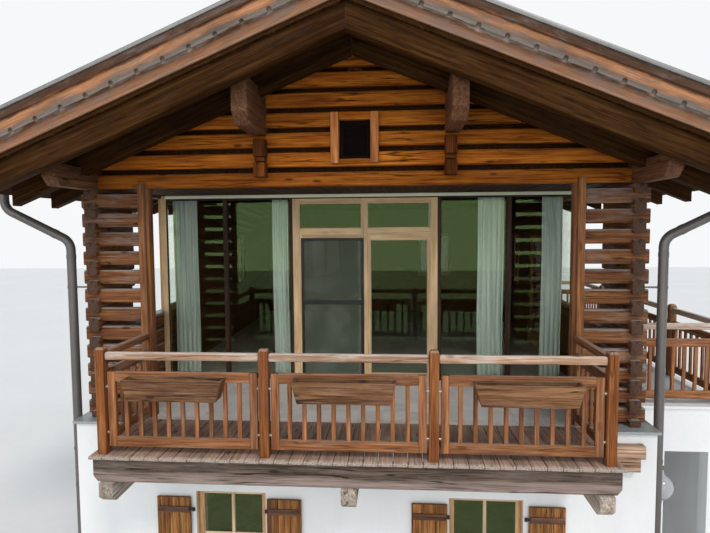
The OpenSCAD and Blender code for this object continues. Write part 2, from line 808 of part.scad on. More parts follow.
module purlins() color("sienna") {
    both_sides() {
        difference() {
            mid_purlin_body();
            also_back() purlin_cut(mid_purlin_x, mid_purlin_w, mid_purlin_low, mid_cut);
        }
        difference() {
            eave_purlin_body();
            also_back() purlin_cut(log_mid, eave_purlin_w, eave_purlin_low, eave_cut);
        }
    }
    ridge_purlin_body();
}

// Roof

tail_x = eave_x - tail_in;
ridge_gap = 1;

module right_slope_rafters() difference() {
    for (i = [0 : rafter_n - 1]) along_y(roof_y + i * rafter_step, roof_y + i * rafter_step + rafter_t)
        roof_strip(ridge_gap, tail_x, 0, rafter_h - seat_gap);
    mid_purlin_body();
    eave_purlin_body();
    ridge_purlin_body();
}

module rafters() color("sienna") both_sides() right_slope_rafters();

module roof_half() {
    along_y(soffit_y, -soffit_y) roof_strip(ridge_gap, eave_x, rafter_h, core_top);
}

module right_roof() color("tan") roof_half();

module left_roof() color("tan") mirror([1, 0, 0]) roof_half();

sheet_over = 40;

module roof_sheet() color("gray") both_sides()
    along_y(soffit_y - 3 * verge_t - 15, -soffit_y + 3 * verge_t + 15)
        roof_strip(ridge_gap, eave_x + sheet_over, core_top + seat_gap, core_top + sheet_t);

cap_w = 170;
cap_sheet_t = 12;

cap_low = core_top + sheet_t + seat_gap;
cap_high = cap_low + cap_sheet_t;

module ridge_cap() color("gray") along_y(soffit_y - 3 * verge_t - 15, -soffit_y + 3 * verge_t + 15)
    polygon([[-cap_w, line_z(cap_w) + cap_low], [0, line_z(0) + cap_low], [cap_w, line_z(cap_w) + cap_low],
        [cap_w, line_z(cap_w) + cap_high], [0, line_z(0) + cap_high], [-cap_w, line_z(cap_w) + cap_high]]);

// Verge boards in three steps; the middle one has small round notches along its lower edge
module verge_step(n, low, high) along_y(soffit_y - (n + 1) * verge_t, soffit_y - n * verge_t) difference() {
    roof_strip(ridge_gap, eave_x, low, high);
    if (n == 1) for (i = [0 : floor(eave_x / cos(roof_pitch) / notch_pitch) - 1]) {
        x = (i + 0.7) * notch_pitch * cos(roof_pitch);
        translate([x, line_z(x) + low]) rotate(-roof_pitch) {
            translate([0, notch_r]) circle(notch_r);
            translate([-notch_r, -2 * notch_r]) square([2 * notch_r, 3 * notch_r]);
        }
    }
}

module verge_boards() color("sienna") also_back() both_sides() {
    verge_step(0, core_low + 15, core_top);
    verge_step(1, core_low + 140, core_top);
    verge_step(2, core_low + 292, core_top);
}

gutter_x = eave_x + gutter_r + 8;
gutter_z = line_z(eave_x) + core_top - 60;
gutter_end = -soffit_y + 80;

module gutters() color("dimgray") both_sides() translate([gutter_x, 0, gutter_z]) difference() {
    rotate([90, 0, 0]) cylinder(r = gutter_r, h = 2 * gutter_end, center = true);
    rotate([90, 0, 0]) cylinder(r = gutter_r - 4, h = 2 * gutter_end - 8, center = true);
    span([-2 * gutter_r, -gutter_end - 1, 0], [2 * gutter_r, gutter_end + 1, 2 * gutter_r]);
}

pipe_x = half_w + pipe_r + 35;
bend_z = floor_z + 2040;
pipe_fall = 0.49;
outlet_z = bend_z + (gutter_x - pipe_x) * pipe_fall;

pipe_bend = atan2(gutter_x - pipe_x, outlet_z - bend_z);
clamp_zs = [700, floor_z - 400, floor_z + 1500];
mitre = pipe_r * tan(pipe_bend / 2) + 1;
mitre_gap = 0.1;

// Half space above a bend's mitre plane, seen from the pipe that runs up to it
module above_mitre() rotate([0, pipe_bend / 2, 0]) translate([-2 * pipe_r, -2 * pipe_r, 0])
    cube([4 * pipe_r, 4 * pipe_r, 4 * pipe_r]);

module below_mitre() rotate([0, pipe_bend / 2, 0]) translate([-2 * pipe_r, -2 * pipe_r, mitre_gap - 4 * pipe_r])
    cube([4 * pipe_r, 4 * pipe_r, 4 * pipe_r]);

// Right downpipe as three lengths that meet at their mitres
module right_downpipe() translate([0, front_y + pipe_y, 0]) {
    difference() {
        translate([pipe_x, 0, 0]) cylinder(r = pipe_r, h = bend_z + mitre);
        translate([pipe_x, 0, bend_z]) above_mitre();
    }
    difference() {
        translate([pipe_x, 0, bend_z]) rotate([0, pipe_bend, 0]) translate([0, 0, -mitre])
            cylinder(r = pipe_r, h = norm([gutter_x - pipe_x, outlet_z - bend_z]) + 2 * mitre);
        translate([pipe_x, 0, bend_z]) below_mitre();
        translate([gutter_x, 0, outlet_z]) above_mitre();
    }
    difference() {
        translate([gutter_x, 0, outlet_z - mitre])
            cylinder(r = pipe_r, h = gutter_z - gutter_r - outlet_z + mitre);
        translate([gutter_x, 0, outlet_z]) below_mitre();
    }
}

module downpipes() color("dimgray") both_sides() right_downpipe();

// Clamps that hold the downpipes to the wall
module pipe_clamps() color("dimgray") both_sides() for (z = clamp_zs)
    translate([pipe_x, front_y + pipe_y, z]) difference() {
        union() {
            cylinder(r = pipe_r + 4, h = 30);
            span([(z > floor_z ? log_out : half_w) - pipe_x, -6, 5], [-pipe_r, 6, 25]);
        }
        translate([0, 0, -1]) cylinder(r = pipe_r + seat_gap, h = 32);
    }

// Glass wall and terrace door

mullion_in = 950;
mullion_x = log_in - mullion_in;
mullion_w = 50;
door_post_w = 40;
glazing_low = floor_z + 60;
glazing_top = ceiling_z - 60;
door_stile = 95;
door_gap = 40;
leaf_stile = 40;
top_light = [floor_z + transom_z + 140, ceiling_z - 125];
door_light = [floor_z + 90, floor_z + transom_z - 20];

module glass_wall() color("peru") difference() {
    span([-log_in, glass_y, floor_z], [log_in, glass_y + glazing_t, ceiling_z]);
    span([-door_x, glass_y - 1, floor_z - 1], [door_x, glass_y + glazing_t + 1, glazing_top]);
    both_sides() {
        eave_purlin_body();
        translate([0, glass_y - 1, 0]) wall_lights(glazing_t + 2);
    }
}

// Fixed lights beside the door, on the right side
module wall_lights(t) {
    span([door_x + door_post_w, 0, glazing_low], [mullion_x - mullion_w / 2, t, glazing_top]);
    span([mullion_x + mullion_w / 2, 0, glazing_low], [log_in - glazing_w, t, glazing_top]);
}

// Lights of the door unit, on the right side
module door_lights(t) {
    span([door_gap, 0, top_light[0]], [door_x - door_stile, t, top_light[1]]);
    span([door_gap + leaf_stile, 0, door_light[0]], [door_x - door_stile - leaf_stile, t, door_light[1]]);
}

module glass_wall_panes() translate([0, glass_y + (glazing_t - glass_t) / 2, 0]) both_sides() {
    wall_lights(glass_t);
    door_lights(glass_t);
}

module terrace_door() color("burlywood") difference() {
    span([-door_x, glass_y, floor_z], [door_x, glass_y + glazing_t, glazing_top]);
    both_sides() translate([0, glass_y - 1, 0]) door_lights(glazing_t + 2);
}

curtain_t = 60;
curtain_gap = 60;
curtain_lift = 15;
curtain_w = 390;
curtain_side_in = 105;

// Curtain with its left edge at x
module curtain(x, w) span([x, glass_y + glazing_t + curtain_gap, floor_z + curtain_lift],
    [x + w, glass_y + glazing_t + curtain_gap + curtain_t, ceiling_z]);

module curtains() color("honeydew") {
    curtain(curtain_side_in - log_in, curtain_w);
    curtain(log_in - 1.6 * curtain_side_in - curtain_w * 0.8, curtain_w * 0.8);
    curtain(-door_x - curtain_w * 0.87, curtain_w * 0.65);
    curtain(door_x - 130, 120);
    curtain(mullion_x - mullion_w / 2 - curtain_w, curtain_w);
}

// Windows of the upper floor

module at_upper_windows() {
    for (s = [-1, 1]) translate([s * (log_out - 20), upper_win_y, upper_sill]) rotate([0, 0, s * 90]) children();
    for (x = [-win_x, win_x]) translate([x, -wall_y - 20, upper_sill]) rotate([0, 0, 180]) children();
}

side_light_y = [glass_y + glazing_t, side_open_y1];
side_light_z = [parapet_z, eave_purlin_low];
gallery_door_y = -600;
gallery_door_stile = 110;
gallery_door_base = 250;

module upper_windows() color("burlywood") {
    at_upper_windows() window_frame(upper_win_w, upper_win_h);
    both_sides() difference() {
        span([log_in, side_light_y[0], side_light_z[0]], [log_in + frame_t, side_light_y[1], side_light_z[1]]);
        span([log_in - 1, side_light_y[0] + frame_w, side_light_z[0] + frame_w],
            [log_in + frame_t + 1, side_light_y[1] - frame_w, side_light_z[1] - frame_w]);
    }
}

module gallery_door_light(x0, x1) span([x0, gallery_door_y + gallery_door_stile, floor_z + gallery_door_base],
    [x1, gallery_door_y + gallery_door_w - gallery_door_stile, upper_top - gallery_door_stile]);

// Entrance door on the ground floor and glazed door to the gallery
module side_doors() color("saddlebrown") {
    span([half_w - frame_back - frame_t, entrance_y - entrance_w / 2, ground_t],
        [half_w - frame_back, entrance_y + entrance_w / 2, ground_t + entrance_h]);
    difference() {
        span([log_in, gallery_door_y, floor_z], [log_in + frame_t, gallery_door_y + gallery_door_w, upper_top]);
        gallery_door_light(log_in - 1, log_in + frame_t + 1);
    }
}

module window_panes() color("lightblue") {
    at_ground_windows() window_glass(win_w, win_h, reveal_d);
    at_upper_windows() window_glass(upper_win_w, upper_win_h);
    glass_wall_panes();
    gable_glass();
    translate([log_in + (frame_t - glass_t) / 2, 0, 0]) {
        gallery_door_light(0, glass_t);
        side_pane();
    }
    mirror([1, 0, 0]) translate([log_in + (frame_t - glass_t) / 2, 0, 0]) side_pane();
}

module side_pane() span([0, side_light_y[0] + frame_w, side_light_z[0] + frame_w],
    [glass_t, side_light_y[1] - frame_w, side_light_z[1] - frame_w]);

// Side gallery on the right

gallery_slab_t = 180;
passage_x = half_w + 500;
passage_w = 510;
passage_top = floor_z - 565;
pier_l = 1150;
column_l = 400;
pier_gap = 5;

module gallery_walls() color("white") {
    difference() {
        span([half_w, gallery_y0, 0], [gallery_x, gallery_y0 + pier_t, slab_top - gallery_slab_t]);
        span([passage_x, gallery_y0 - 1, -1], [passage_x + passage_w, gallery_y0 + pier_t + 1, passage_top]);
    }
    gallery_pier(gallery_y0 + pier_t + pier_gap, pier_l);
    gallery_pier(gallery_y0 + (gallery_d - column_l) / 2, column_l);
    gallery_pier(gallery_y1 - column_l, column_l);
}

module gallery_pier(y, l) span([gallery_x - pier_t, y, 0], [gallery_x, y + l, slab_top - gallery_slab_t]);

module gallery_floor() color("lightgray") {
    span([half_w, gallery_y0, slab_top - gallery_slab_t], [gallery_x, gallery_y1, slab_top]);
    span([half_w + coping_over + coping_gap, gallery_y0 - coping_over, slab_top],
        [gallery_x + coping_over, gallery_y1 + coping_over, floor_z]);
}

gallery_post_in = 60;
gallery_post_x = [half_w + 90, gallery_x - gallery_post_in];
gallery_bays = 4;
gallery_bay = (gallery_d - 2 * gallery_post_in) / gallery_bays;

module gallery_railing() color("chocolate") {
    for (i = [0 : gallery_bays])
        translate([gallery_post_x[1], gallery_y0 + gallery_post_in + i * gallery_bay, floor_z]) post(post_h);
    for (y = [gallery_y0 + gallery_post_in, gallery_y1 - gallery_post_in]) {
        translate([gallery_post_x[0], y, floor_z]) post(post_h);
        translate([gallery_post_x[0] + post_w / 2 + seat_gap, y, floor_z])
            bay(gallery_post_x[1] - gallery_post_x[0] - post_w - 2 * seat_gap);
    }
    for (i = [0 : gallery_bays - 1]) translate([gallery_post_x[1],
        gallery_y0 + gallery_post_in + i * gallery_bay + post_w / 2 + seat_gap, floor_z])
            rotate([0, 0, 90]) bay(gallery_bay - post_w - 2 * seat_gap);
}

module bay(length) {
    panel(length);
    rail(length);
}

beam_end_x = beam_x + 15;
beam_end_t = 100;
beam_end_h = 137;
beam_end_drop = 130;
beam_end_in = 152;
beam_end_step = 50;

// Two timbers one under the other at the right of the balcony, the lower one shorter
module wall_beam_ends() color("peru") for (i = [0, 1])
    span([beam_end_x, front_y - beam_end_t, floor_z - beam_end_drop - (i + 1) * (beam_end_h + 1)],
        [half_w - beam_end_in - i * beam_end_step, front_y, floor_z - beam_end_drop - i * (beam_end_h + 1) - 1]);

lamp_x = half_w + 371;
lamp_z = floor_z - 931;
globe_r = 155;
lamp_d = 165;
neck_r = 50;

// Globe lamp that hangs from an arm on the gallery's front wall
module wall_lamp() color("gainsboro") translate([lamp_x, gallery_y0, lamp_z]) {
    translate([0, -lamp_d, 0]) sphere(r = globe_r);
    translate([0, -lamp_d, globe_r - 14]) cylinder(r = neck_r, h = 119);
    span([-15, -lamp_d, globe_r + 75], [15, 0, globe_r + 100]);
}

ground_slab();
front_wall();
left_wall();
right_wall();
back_wall();
upper_floor();
floor_finish();
wall_coping();
ground_windows();
window_sills();
shutter_pintles();
shutter_1();
shutter_2();
shutter_3();
shutter_4();
side_shutters();
balcony_brackets();
balcony_frame();
balcony_deck();
balcony_posts();
balcony_handrail();
balcony_panels();
flower_boxes();
front_corner_logs();
left_logs();
right_logs();
back_logs();
gable_logs();
wall_lining();
gable_lining();
jamb_posts();
lintel_beam();
loggia_ceiling();
gable_windows();
purlin_stubs();
purlins();
rafters();
left_roof();
right_roof();
roof_sheet();
ridge_cap();
verge_boards();
gutters();
downpipes();
pipe_clamps();
glass_wall();
terrace_door();
side_doors();
curtains();
upper_windows();
window_panes();
gallery_floor();
gallery_walls();
gallery_railing();
wall_beam_ends();
wall_lamp();
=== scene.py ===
# Alpine chalet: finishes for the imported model, the photograph's view and a plain studio.
# Metres, +Z up, front towards -Y.
import math
import random

import bmesh
import bpy
from bmesh import ops
from mathutils import Matrix, Vector, noise


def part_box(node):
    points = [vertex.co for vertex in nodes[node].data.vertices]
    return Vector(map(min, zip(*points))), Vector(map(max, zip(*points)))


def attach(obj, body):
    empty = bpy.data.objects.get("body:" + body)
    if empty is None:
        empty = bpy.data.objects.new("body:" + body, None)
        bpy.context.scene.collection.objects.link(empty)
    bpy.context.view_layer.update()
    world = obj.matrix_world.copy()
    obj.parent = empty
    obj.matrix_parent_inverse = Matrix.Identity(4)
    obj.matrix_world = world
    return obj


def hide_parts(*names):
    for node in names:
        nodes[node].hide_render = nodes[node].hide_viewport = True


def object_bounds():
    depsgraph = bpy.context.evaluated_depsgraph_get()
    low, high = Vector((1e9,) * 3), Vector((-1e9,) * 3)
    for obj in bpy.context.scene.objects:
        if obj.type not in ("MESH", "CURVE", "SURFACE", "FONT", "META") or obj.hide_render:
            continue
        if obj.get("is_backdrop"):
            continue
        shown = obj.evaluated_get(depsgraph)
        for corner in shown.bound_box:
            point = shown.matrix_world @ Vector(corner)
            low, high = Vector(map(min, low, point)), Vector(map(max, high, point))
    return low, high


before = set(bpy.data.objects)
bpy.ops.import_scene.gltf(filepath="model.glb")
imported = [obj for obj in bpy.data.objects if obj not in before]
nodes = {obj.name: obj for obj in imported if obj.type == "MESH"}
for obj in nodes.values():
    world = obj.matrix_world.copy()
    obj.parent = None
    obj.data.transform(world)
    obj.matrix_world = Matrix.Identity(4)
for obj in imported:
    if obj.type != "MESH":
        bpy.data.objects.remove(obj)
cadLow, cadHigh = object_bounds()
scene = bpy.context.scene
draw = random.Random(11)
noise.seed_set(11)       # without it the hewn faces differ from run to run

# Places that many pieces share, read from the frame
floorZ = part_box("floor_finish")[1].z
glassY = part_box("glass_wall")[0].y
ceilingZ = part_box("loggia_ceiling")[0].z
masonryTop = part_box("upper_floor")[1].z
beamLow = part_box("balcony_frame")[0].z
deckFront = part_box("balcony_deck")[0].y
roofTan = math.tan(math.radians(22.3))
rafterPlumb = 0.243
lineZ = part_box("rafters")[1].z - rafterPlumb       # underside of the rafters at the ridge
print("frame loaded:", len(nodes), "nodes")


# Shader helpers

current = {}        # the material or world whose nodes are being made


def addNode(kind, inputs=None, **settings):
    made = current["tree"].nodes.new("ShaderNode" + kind)
    for key, value in settings.items():
        setattr(made, key, value)
    for key, value in (inputs or {}).items():
        feed(made, key, value)
    return made


def feed(node, key, value):
    if isinstance(value, bpy.types.NodeSocket):
        current["tree"].links.new(value, node.inputs[key])
    else:
        node.inputs[key].default_value = value


def startFinish(name, roughness, metallic=0.0, specular=0.5, **others):
    mat = bpy.data.materials.new(name)
    mat.use_nodes = True
    current.update(mat=mat, tree=mat.node_tree, shader=mat.node_tree.nodes["Principled BSDF"])
    others.update({"Roughness": roughness, "Metallic": metallic, "Specular IOR Level": specular})
    for key, value in others.items():
        feed(current["shader"], key, value)


def stretched(vector, scale):
    return addNode("Mapping", {"Vector": vector, "Scale": scale}).outputs["Vector"]


def cloudy(vector, scale, detail=3.0, roughness=0.5, distortion=0.0):
    return addNode("TexNoise", {"Vector": vector, "Scale": scale, "Detail": detail, "Roughness": roughness,
                                "Distortion": distortion}).outputs["Fac"]


def grainy(grain, scale, *settings):
    return cloudy(stretched(grain, scale), 1, *settings)


def calc(operation, first, second=0.0, third=0.0):
    return addNode("Math", {0: first, 1: second, 2: third}, operation=operation).outputs[0]


def times(first, second):
    return calc("MULTIPLY", first, second)


def mulAdd(first, second, third):
    return calc("MULTIPLY_ADD", first, second, third)


def fromMiddle(value):
    return calc("ABSOLUTE", calc("SUBTRACT", value, 0.5))


def full(colour):
    # colours are written in thousandths
    return (*(part / 1000 for part in colour), 1)


def ramp(factor, stops):
    made = addNode("ValToRGB", {"Fac": factor})
    points = made.color_ramp.elements
    while len(points) < len(stops):
        points.new(0.5)
    for point, (place, colour) in zip(points, stops):
        point.position = place
        point.color = full(colour) if isinstance(colour, tuple) else (colour, colour, colour, 1)
    return made.outputs["Color"]


def blend(factor, first, second, mode="MIX"):
    first, second = (full(value) if isinstance(value, tuple) else value for value in (first, second))
    inputs = {"Fac": factor, "Color1": first, "Color2": second}
    return addNode("MixRGB", inputs, blend_type=mode).outputs["Color"]


def shaded(colour, factor, stops):
    return blend(1, colour, ramp(factor, stops), "MULTIPLY")


def attribute(name, output):
    return addNode("Attribute", attribute_name=name).outputs[output]


def objectPlace():
    return addNode("TexCoord").outputs["Object"]


def axesOf(vector):
    return addNode("SeparateXYZ", {0: vector}).outputs


def paint(colour, height=None, strength=0.0, distance=0.0):
    # ends a finish with its colour and its bump
    feed(current["shader"], "Base Color", colour)
    if height is not None:
        bump = addNode("Bump", {"Height": height, "Strength": strength, "Distance": distance})
        feed(current["shader"], "Normal", bump.outputs["Normal"])
    return current["mat"]


# Finishes

def woodFinish(name, dark, base, light, grey, top, greyTint, rings=55, cracks=0.8, knots=0.8, roughness=0.7,
               bump=0.5, spread=0.35, specular=0.2, strip=None):
    startFinish(name, roughness, specular=specular)
    grain, tone = attribute("grain", "Vector"), attribute("tone", "Fac")
    figure = grainy(grain, (0.3, 9, 9), 2, 0.5, 0.3)
    fibre = grainy(grain, (5, 130, 130), 4, 0.65)
    streaks = grainy(grain, (1.3, 32, 32), 3, 0.6)
    broad = grainy(grain, (1.1, 3.5, 3.5), 3, 0.6)
    ringLines = calc("SINE", times(figure, rings))
    streak = mulAdd(streaks, 0.6, times(fibre, 0.4))
    streak = mulAdd(ringLines, 0.03, streak)
    colour = ramp(streak, [(0.36, dark), (0.5, base), (0.66, light)])
    colour = shaded(colour, broad, [(0.3, 0.74), (0.5, 0.97), (0.7, 1.18)])
    value = mulAdd(tone, spread, 1 - spread / 2)
    hue = mulAdd(broad, 0.02, 0.49)
    colour = addNode("HueSaturation", {"Hue": hue, "Value": value, "Color": colour}).outputs["Color"]
    # greyed by the weather in patches and where it looks up
    facing = axesOf(addNode("TexCoord").outputs["Normal"])["Z"]
    upward = times(ramp(facing, [(0.25, 0.0), (0.85, 1.0)]), top)
    patches = ramp(grainy(grain, (1.6, 9, 9), 4, 0.7), [(0.5, 0.0), (0.68, 1.0)])
    greyed = shaded(greyTint, fibre, [(0.3, 0.7), (0.7, 1.3)])
    colour = blend(mulAdd(patches, grey, upward), colour, greyed)
    if strip:
        # a paler strip of painted sunlight along one edge: axis, where it starts, where it is complete, colour
        # and share
        axis, start, end, tint, share = strip
        place = mulAdd(calc("SUBTRACT", broad, 0.5), 0.06, axesOf(objectPlace())[axis])
        inside = addNode("MapRange", {"Value": place, "From Min": start, "From Max": end}).outputs["Result"]
        paintedSunlight = shaded(tint, streak, [(0.38, 0.5), (0.5, 1.0), (0.62, 1.25)])
        colour = blend(times(inside, share), colour, paintedSunlight)
    cells = addNode("TexVoronoi", {"Vector": stretched(grain, (2.2, 7, 7)), "Scale": 1.0})
    knotMask = times(ramp(cells.outputs["Distance"], [(0.07, 1.0), (0.15, 0.0)]), knots)
    colour = blend(knotMask, colour, tuple(0.35 * c for c in dark))
    split = fromMiddle(grainy(grain, (0.8, 24, 24), 1.5, 0.4))
    splitMask = times(ramp(split, [(0.008, 1.0), (0.02, 0.0)]),
                      ramp(broad, [(0.46, 0.0), (0.54, 1.0)]))
    splitMask = times(splitMask, cracks)
    colour = blend(splitMask, colour, tuple(0.2 * c for c in dark))
    height = mulAdd(ringLines, 0.08, mulAdd(splitMask, -1.6, fibre))
    return paint(colour, height, bump, 0.004)


def endFinish(name, dark, base, light):
    startFinish(name, 0.75, specular=0.25)
    across = stretched(attribute("grain", "Vector"), (0.0, 1, 1))
    waves = {"Vector": across, "Scale": 26.0, "Distortion": 1.6, "Detail": 2.0, "Detail Scale": 3.0}
    rings = addNode("TexWave", waves, wave_type="RINGS", rings_direction="X").outputs["Fac"]
    rough = times(cloudy(across, 60, 4, 0.7), 0.7)
    colour = ramp(mulAdd(rings, 0.45, rough), [(0.25, dark), (0.55, base), (0.9, light)])
    splits = ramp(fromMiddle(cloudy(across, 11, 2, 0.5, 1.0)), [(0.006, 1.0), (0.02, 0.0)])
    colour = blend(times(splits, 0.8), colour, tuple(0.2 * c for c in dark))
    return paint(colour, calc("SUBTRACT", rings, splits), 0.4, 0.003)


# The verge boards' colours from their lower edge to the roof sheet, with painted shade in the dark band just
# under the notched board, painted sunlight in the pale band along its notches and a painted highlight in the
# bright orange under the top board
verge = {"low": 0.285, "height": 0.361, "wander": 0.14,
         "bandsWithPaintedLight": [(0.0, (360, 210, 130)), (0.035, (300, 150, 86)), (0.2, (230, 108, 58)),
                   (0.28, (130, 62, 34)), (0.345, (120, 65, 40)), (0.36, (220, 175, 145)),
                   (0.45, (140, 120, 105)), (0.53, (300, 145, 80)), (0.62, (420, 200, 100)),
                   (0.70, (440, 200, 95)), (0.745, (150, 65, 34)), (0.78, (82, 43, 26)),
                   (1.0, (85, 50, 32))]}


def vergeFinish(name):
    startFinish(name, 0.75, specular=0.1)
    place = axesOf(objectPlace())
    rise = mulAdd(calc("ABSOLUTE", place["X"]), roofTan, place["Z"])
    height = calc("SUBTRACT", rise, lineZ + verge["low"])
    grain = attribute("grain", "Vector")
    patch = grainy(grain, (1.5, 5, 5), 4, 0.65)
    wander = mulAdd(patch, verge["wander"], calc("SUBTRACT", height, verge["wander"] / 2))
    # bands of the boards' own colour with painted shade, painted sunlight and a painted highlight
    colour = ramp(calc("DIVIDE", wander, verge["height"]), verge["bandsWithPaintedLight"])
    fibre = grainy(grain, (4, 110, 110), 4, 0.65)
    colour = shaded(colour, fibre, [(0.3, 0.66), (0.5, 1.0), (0.7, 1.3)])
    colour = shaded(colour, patch, [(0.3, 0.7), (0.5, 1.0), (0.7, 1.25)])
    worn = ramp(grainy(grain, (2.6, 12, 12), 4, 0.7), [(0.5, 0.0), (0.62, 0.55)])
    return paint(blend(worn, colour, (170, 140, 125)), fibre, 0.5, 0.003)


def plasterFinish(name):
    startFinish(name, 0.9, specular=0.2)
    place = objectPlace()
    stain = grainy(place, (0.9, 0.9, 0.35), 4, 0.6)
    colour = ramp(stain, [(0.32, (710, 725, 730)), (0.5, (785, 800, 805)), (0.7, (820, 835, 840))])
    edge = mulAdd(cloudy(place, 5, 4, 0.7), 0.35, axesOf(place)["Z"])
    colour = shaded(colour, times(edge, 1.6), [(0.22, 0.78), (0.62, 1.0)])
    coarse = mulAdd(cloudy(place, 7, 2, 0.5), 0.8, cloudy(place, 38, 5, 0.65))
    return paint(colour, coarse, 0.55, 0.006)


def speckFinish(name, dark, light, roughness=0.8, metallic=0.0, scale=30, bump=0.3, streaks=(1, 1, 1)):
    startFinish(name, roughness, metallic)
    place = stretched(objectPlace(), streaks)
    fine = cloudy(place, scale, 5, 0.7)
    broad = times(cloudy(place, scale / 14, 3, 0.6), 0.55)
    mixed = mulAdd(fine, 0.45, broad)
    return paint(ramp(mixed, [(0.35, dark), (0.62, light)]), fine, bump, 0.002)


def tileFinish(name, size):
    startFinish(name, 0.5)
    place = objectPlace()
    cell = addNode("VectorMath", {0: place, 1: (size, size, 10.0)}, operation="SNAP").outputs["Vector"]
    chance = addNode("TexWhiteNoise", {"Vector": cell}).outputs["Value"]
    cloud = times(cloudy(place, 9, 5, 0.7), 0.7)
    colour = ramp(mulAdd(chance, 0.3, cloud),
                  [(0.25, (540, 500, 485)), (0.55, (660, 620, 605)), (0.8, (760, 720, 700))])
    return paint(colour, cloudy(place, 130, 3, 0.6), 0.12, 0.002)


def glassFinish(name, tint, paintedReflection, paintedGroundReflection, paintedDark):
    # the small panes above the ceiling and those at the back of the house are painted near black, in colour
    # and in reflection: painted shade standing in for the dark inside behind them
    startFinish(name, 0.0, **{"Transmission Weight": 1.0, "IOR": 1.5})
    place = objectPlace()
    spot = axesOf(place)
    dim = calc("MAXIMUM", calc("GREATER_THAN", spot["Z"], ceilingZ),
               calc("GREATER_THAN", spot["Y"], glassY + 1.3))
    clear = tuple(min(1000, c * 1.03) for c in tint)
    colour = ramp(cloudy(place, 0.8, 2, 0.5), [(0.35, tint), (0.7, clear)])
    low = calc("LESS_THAN", spot["Z"], masonryTop)
    # the green in the reflections is a painted reflection of a meadow, brighter on the panes below the upper
    # floor
    feed(current["shader"], "Specular Tint", blend(dim, blend(low, paintedReflection, paintedGroundReflection), paintedDark))
    return paint(blend(dim, colour, paintedDark))


def clothFinish(name):
    startFinish(name, 0.9, specular=0.2, **{"Sheen Weight": 0.25})
    place = addNode("TexCoord").outputs["UV"]
    threads = times(*(addNode("TexWave", {"Vector": place, "Scale": 190.0}, bands_direction=way).outputs["Fac"]
                      for way in "XY"))
    stripes = grainy(place, (22, 0.6, 1), 2, 0.5)
    colour = ramp(stripes, [(0.36, (620, 720, 680)), (0.6, (900, 970, 930))])
    return paint(colour, threads, 0.25, 0.0006)


def meshFinish(name):
    startFinish(name, 0.8, Alpha=0.5)
    veil = cloudy(objectPlace(), 3, 2, 0.5)
    return paint(ramp(veil, [(0.4, (100, 125, 90)), (0.65, (170, 205, 150))]))


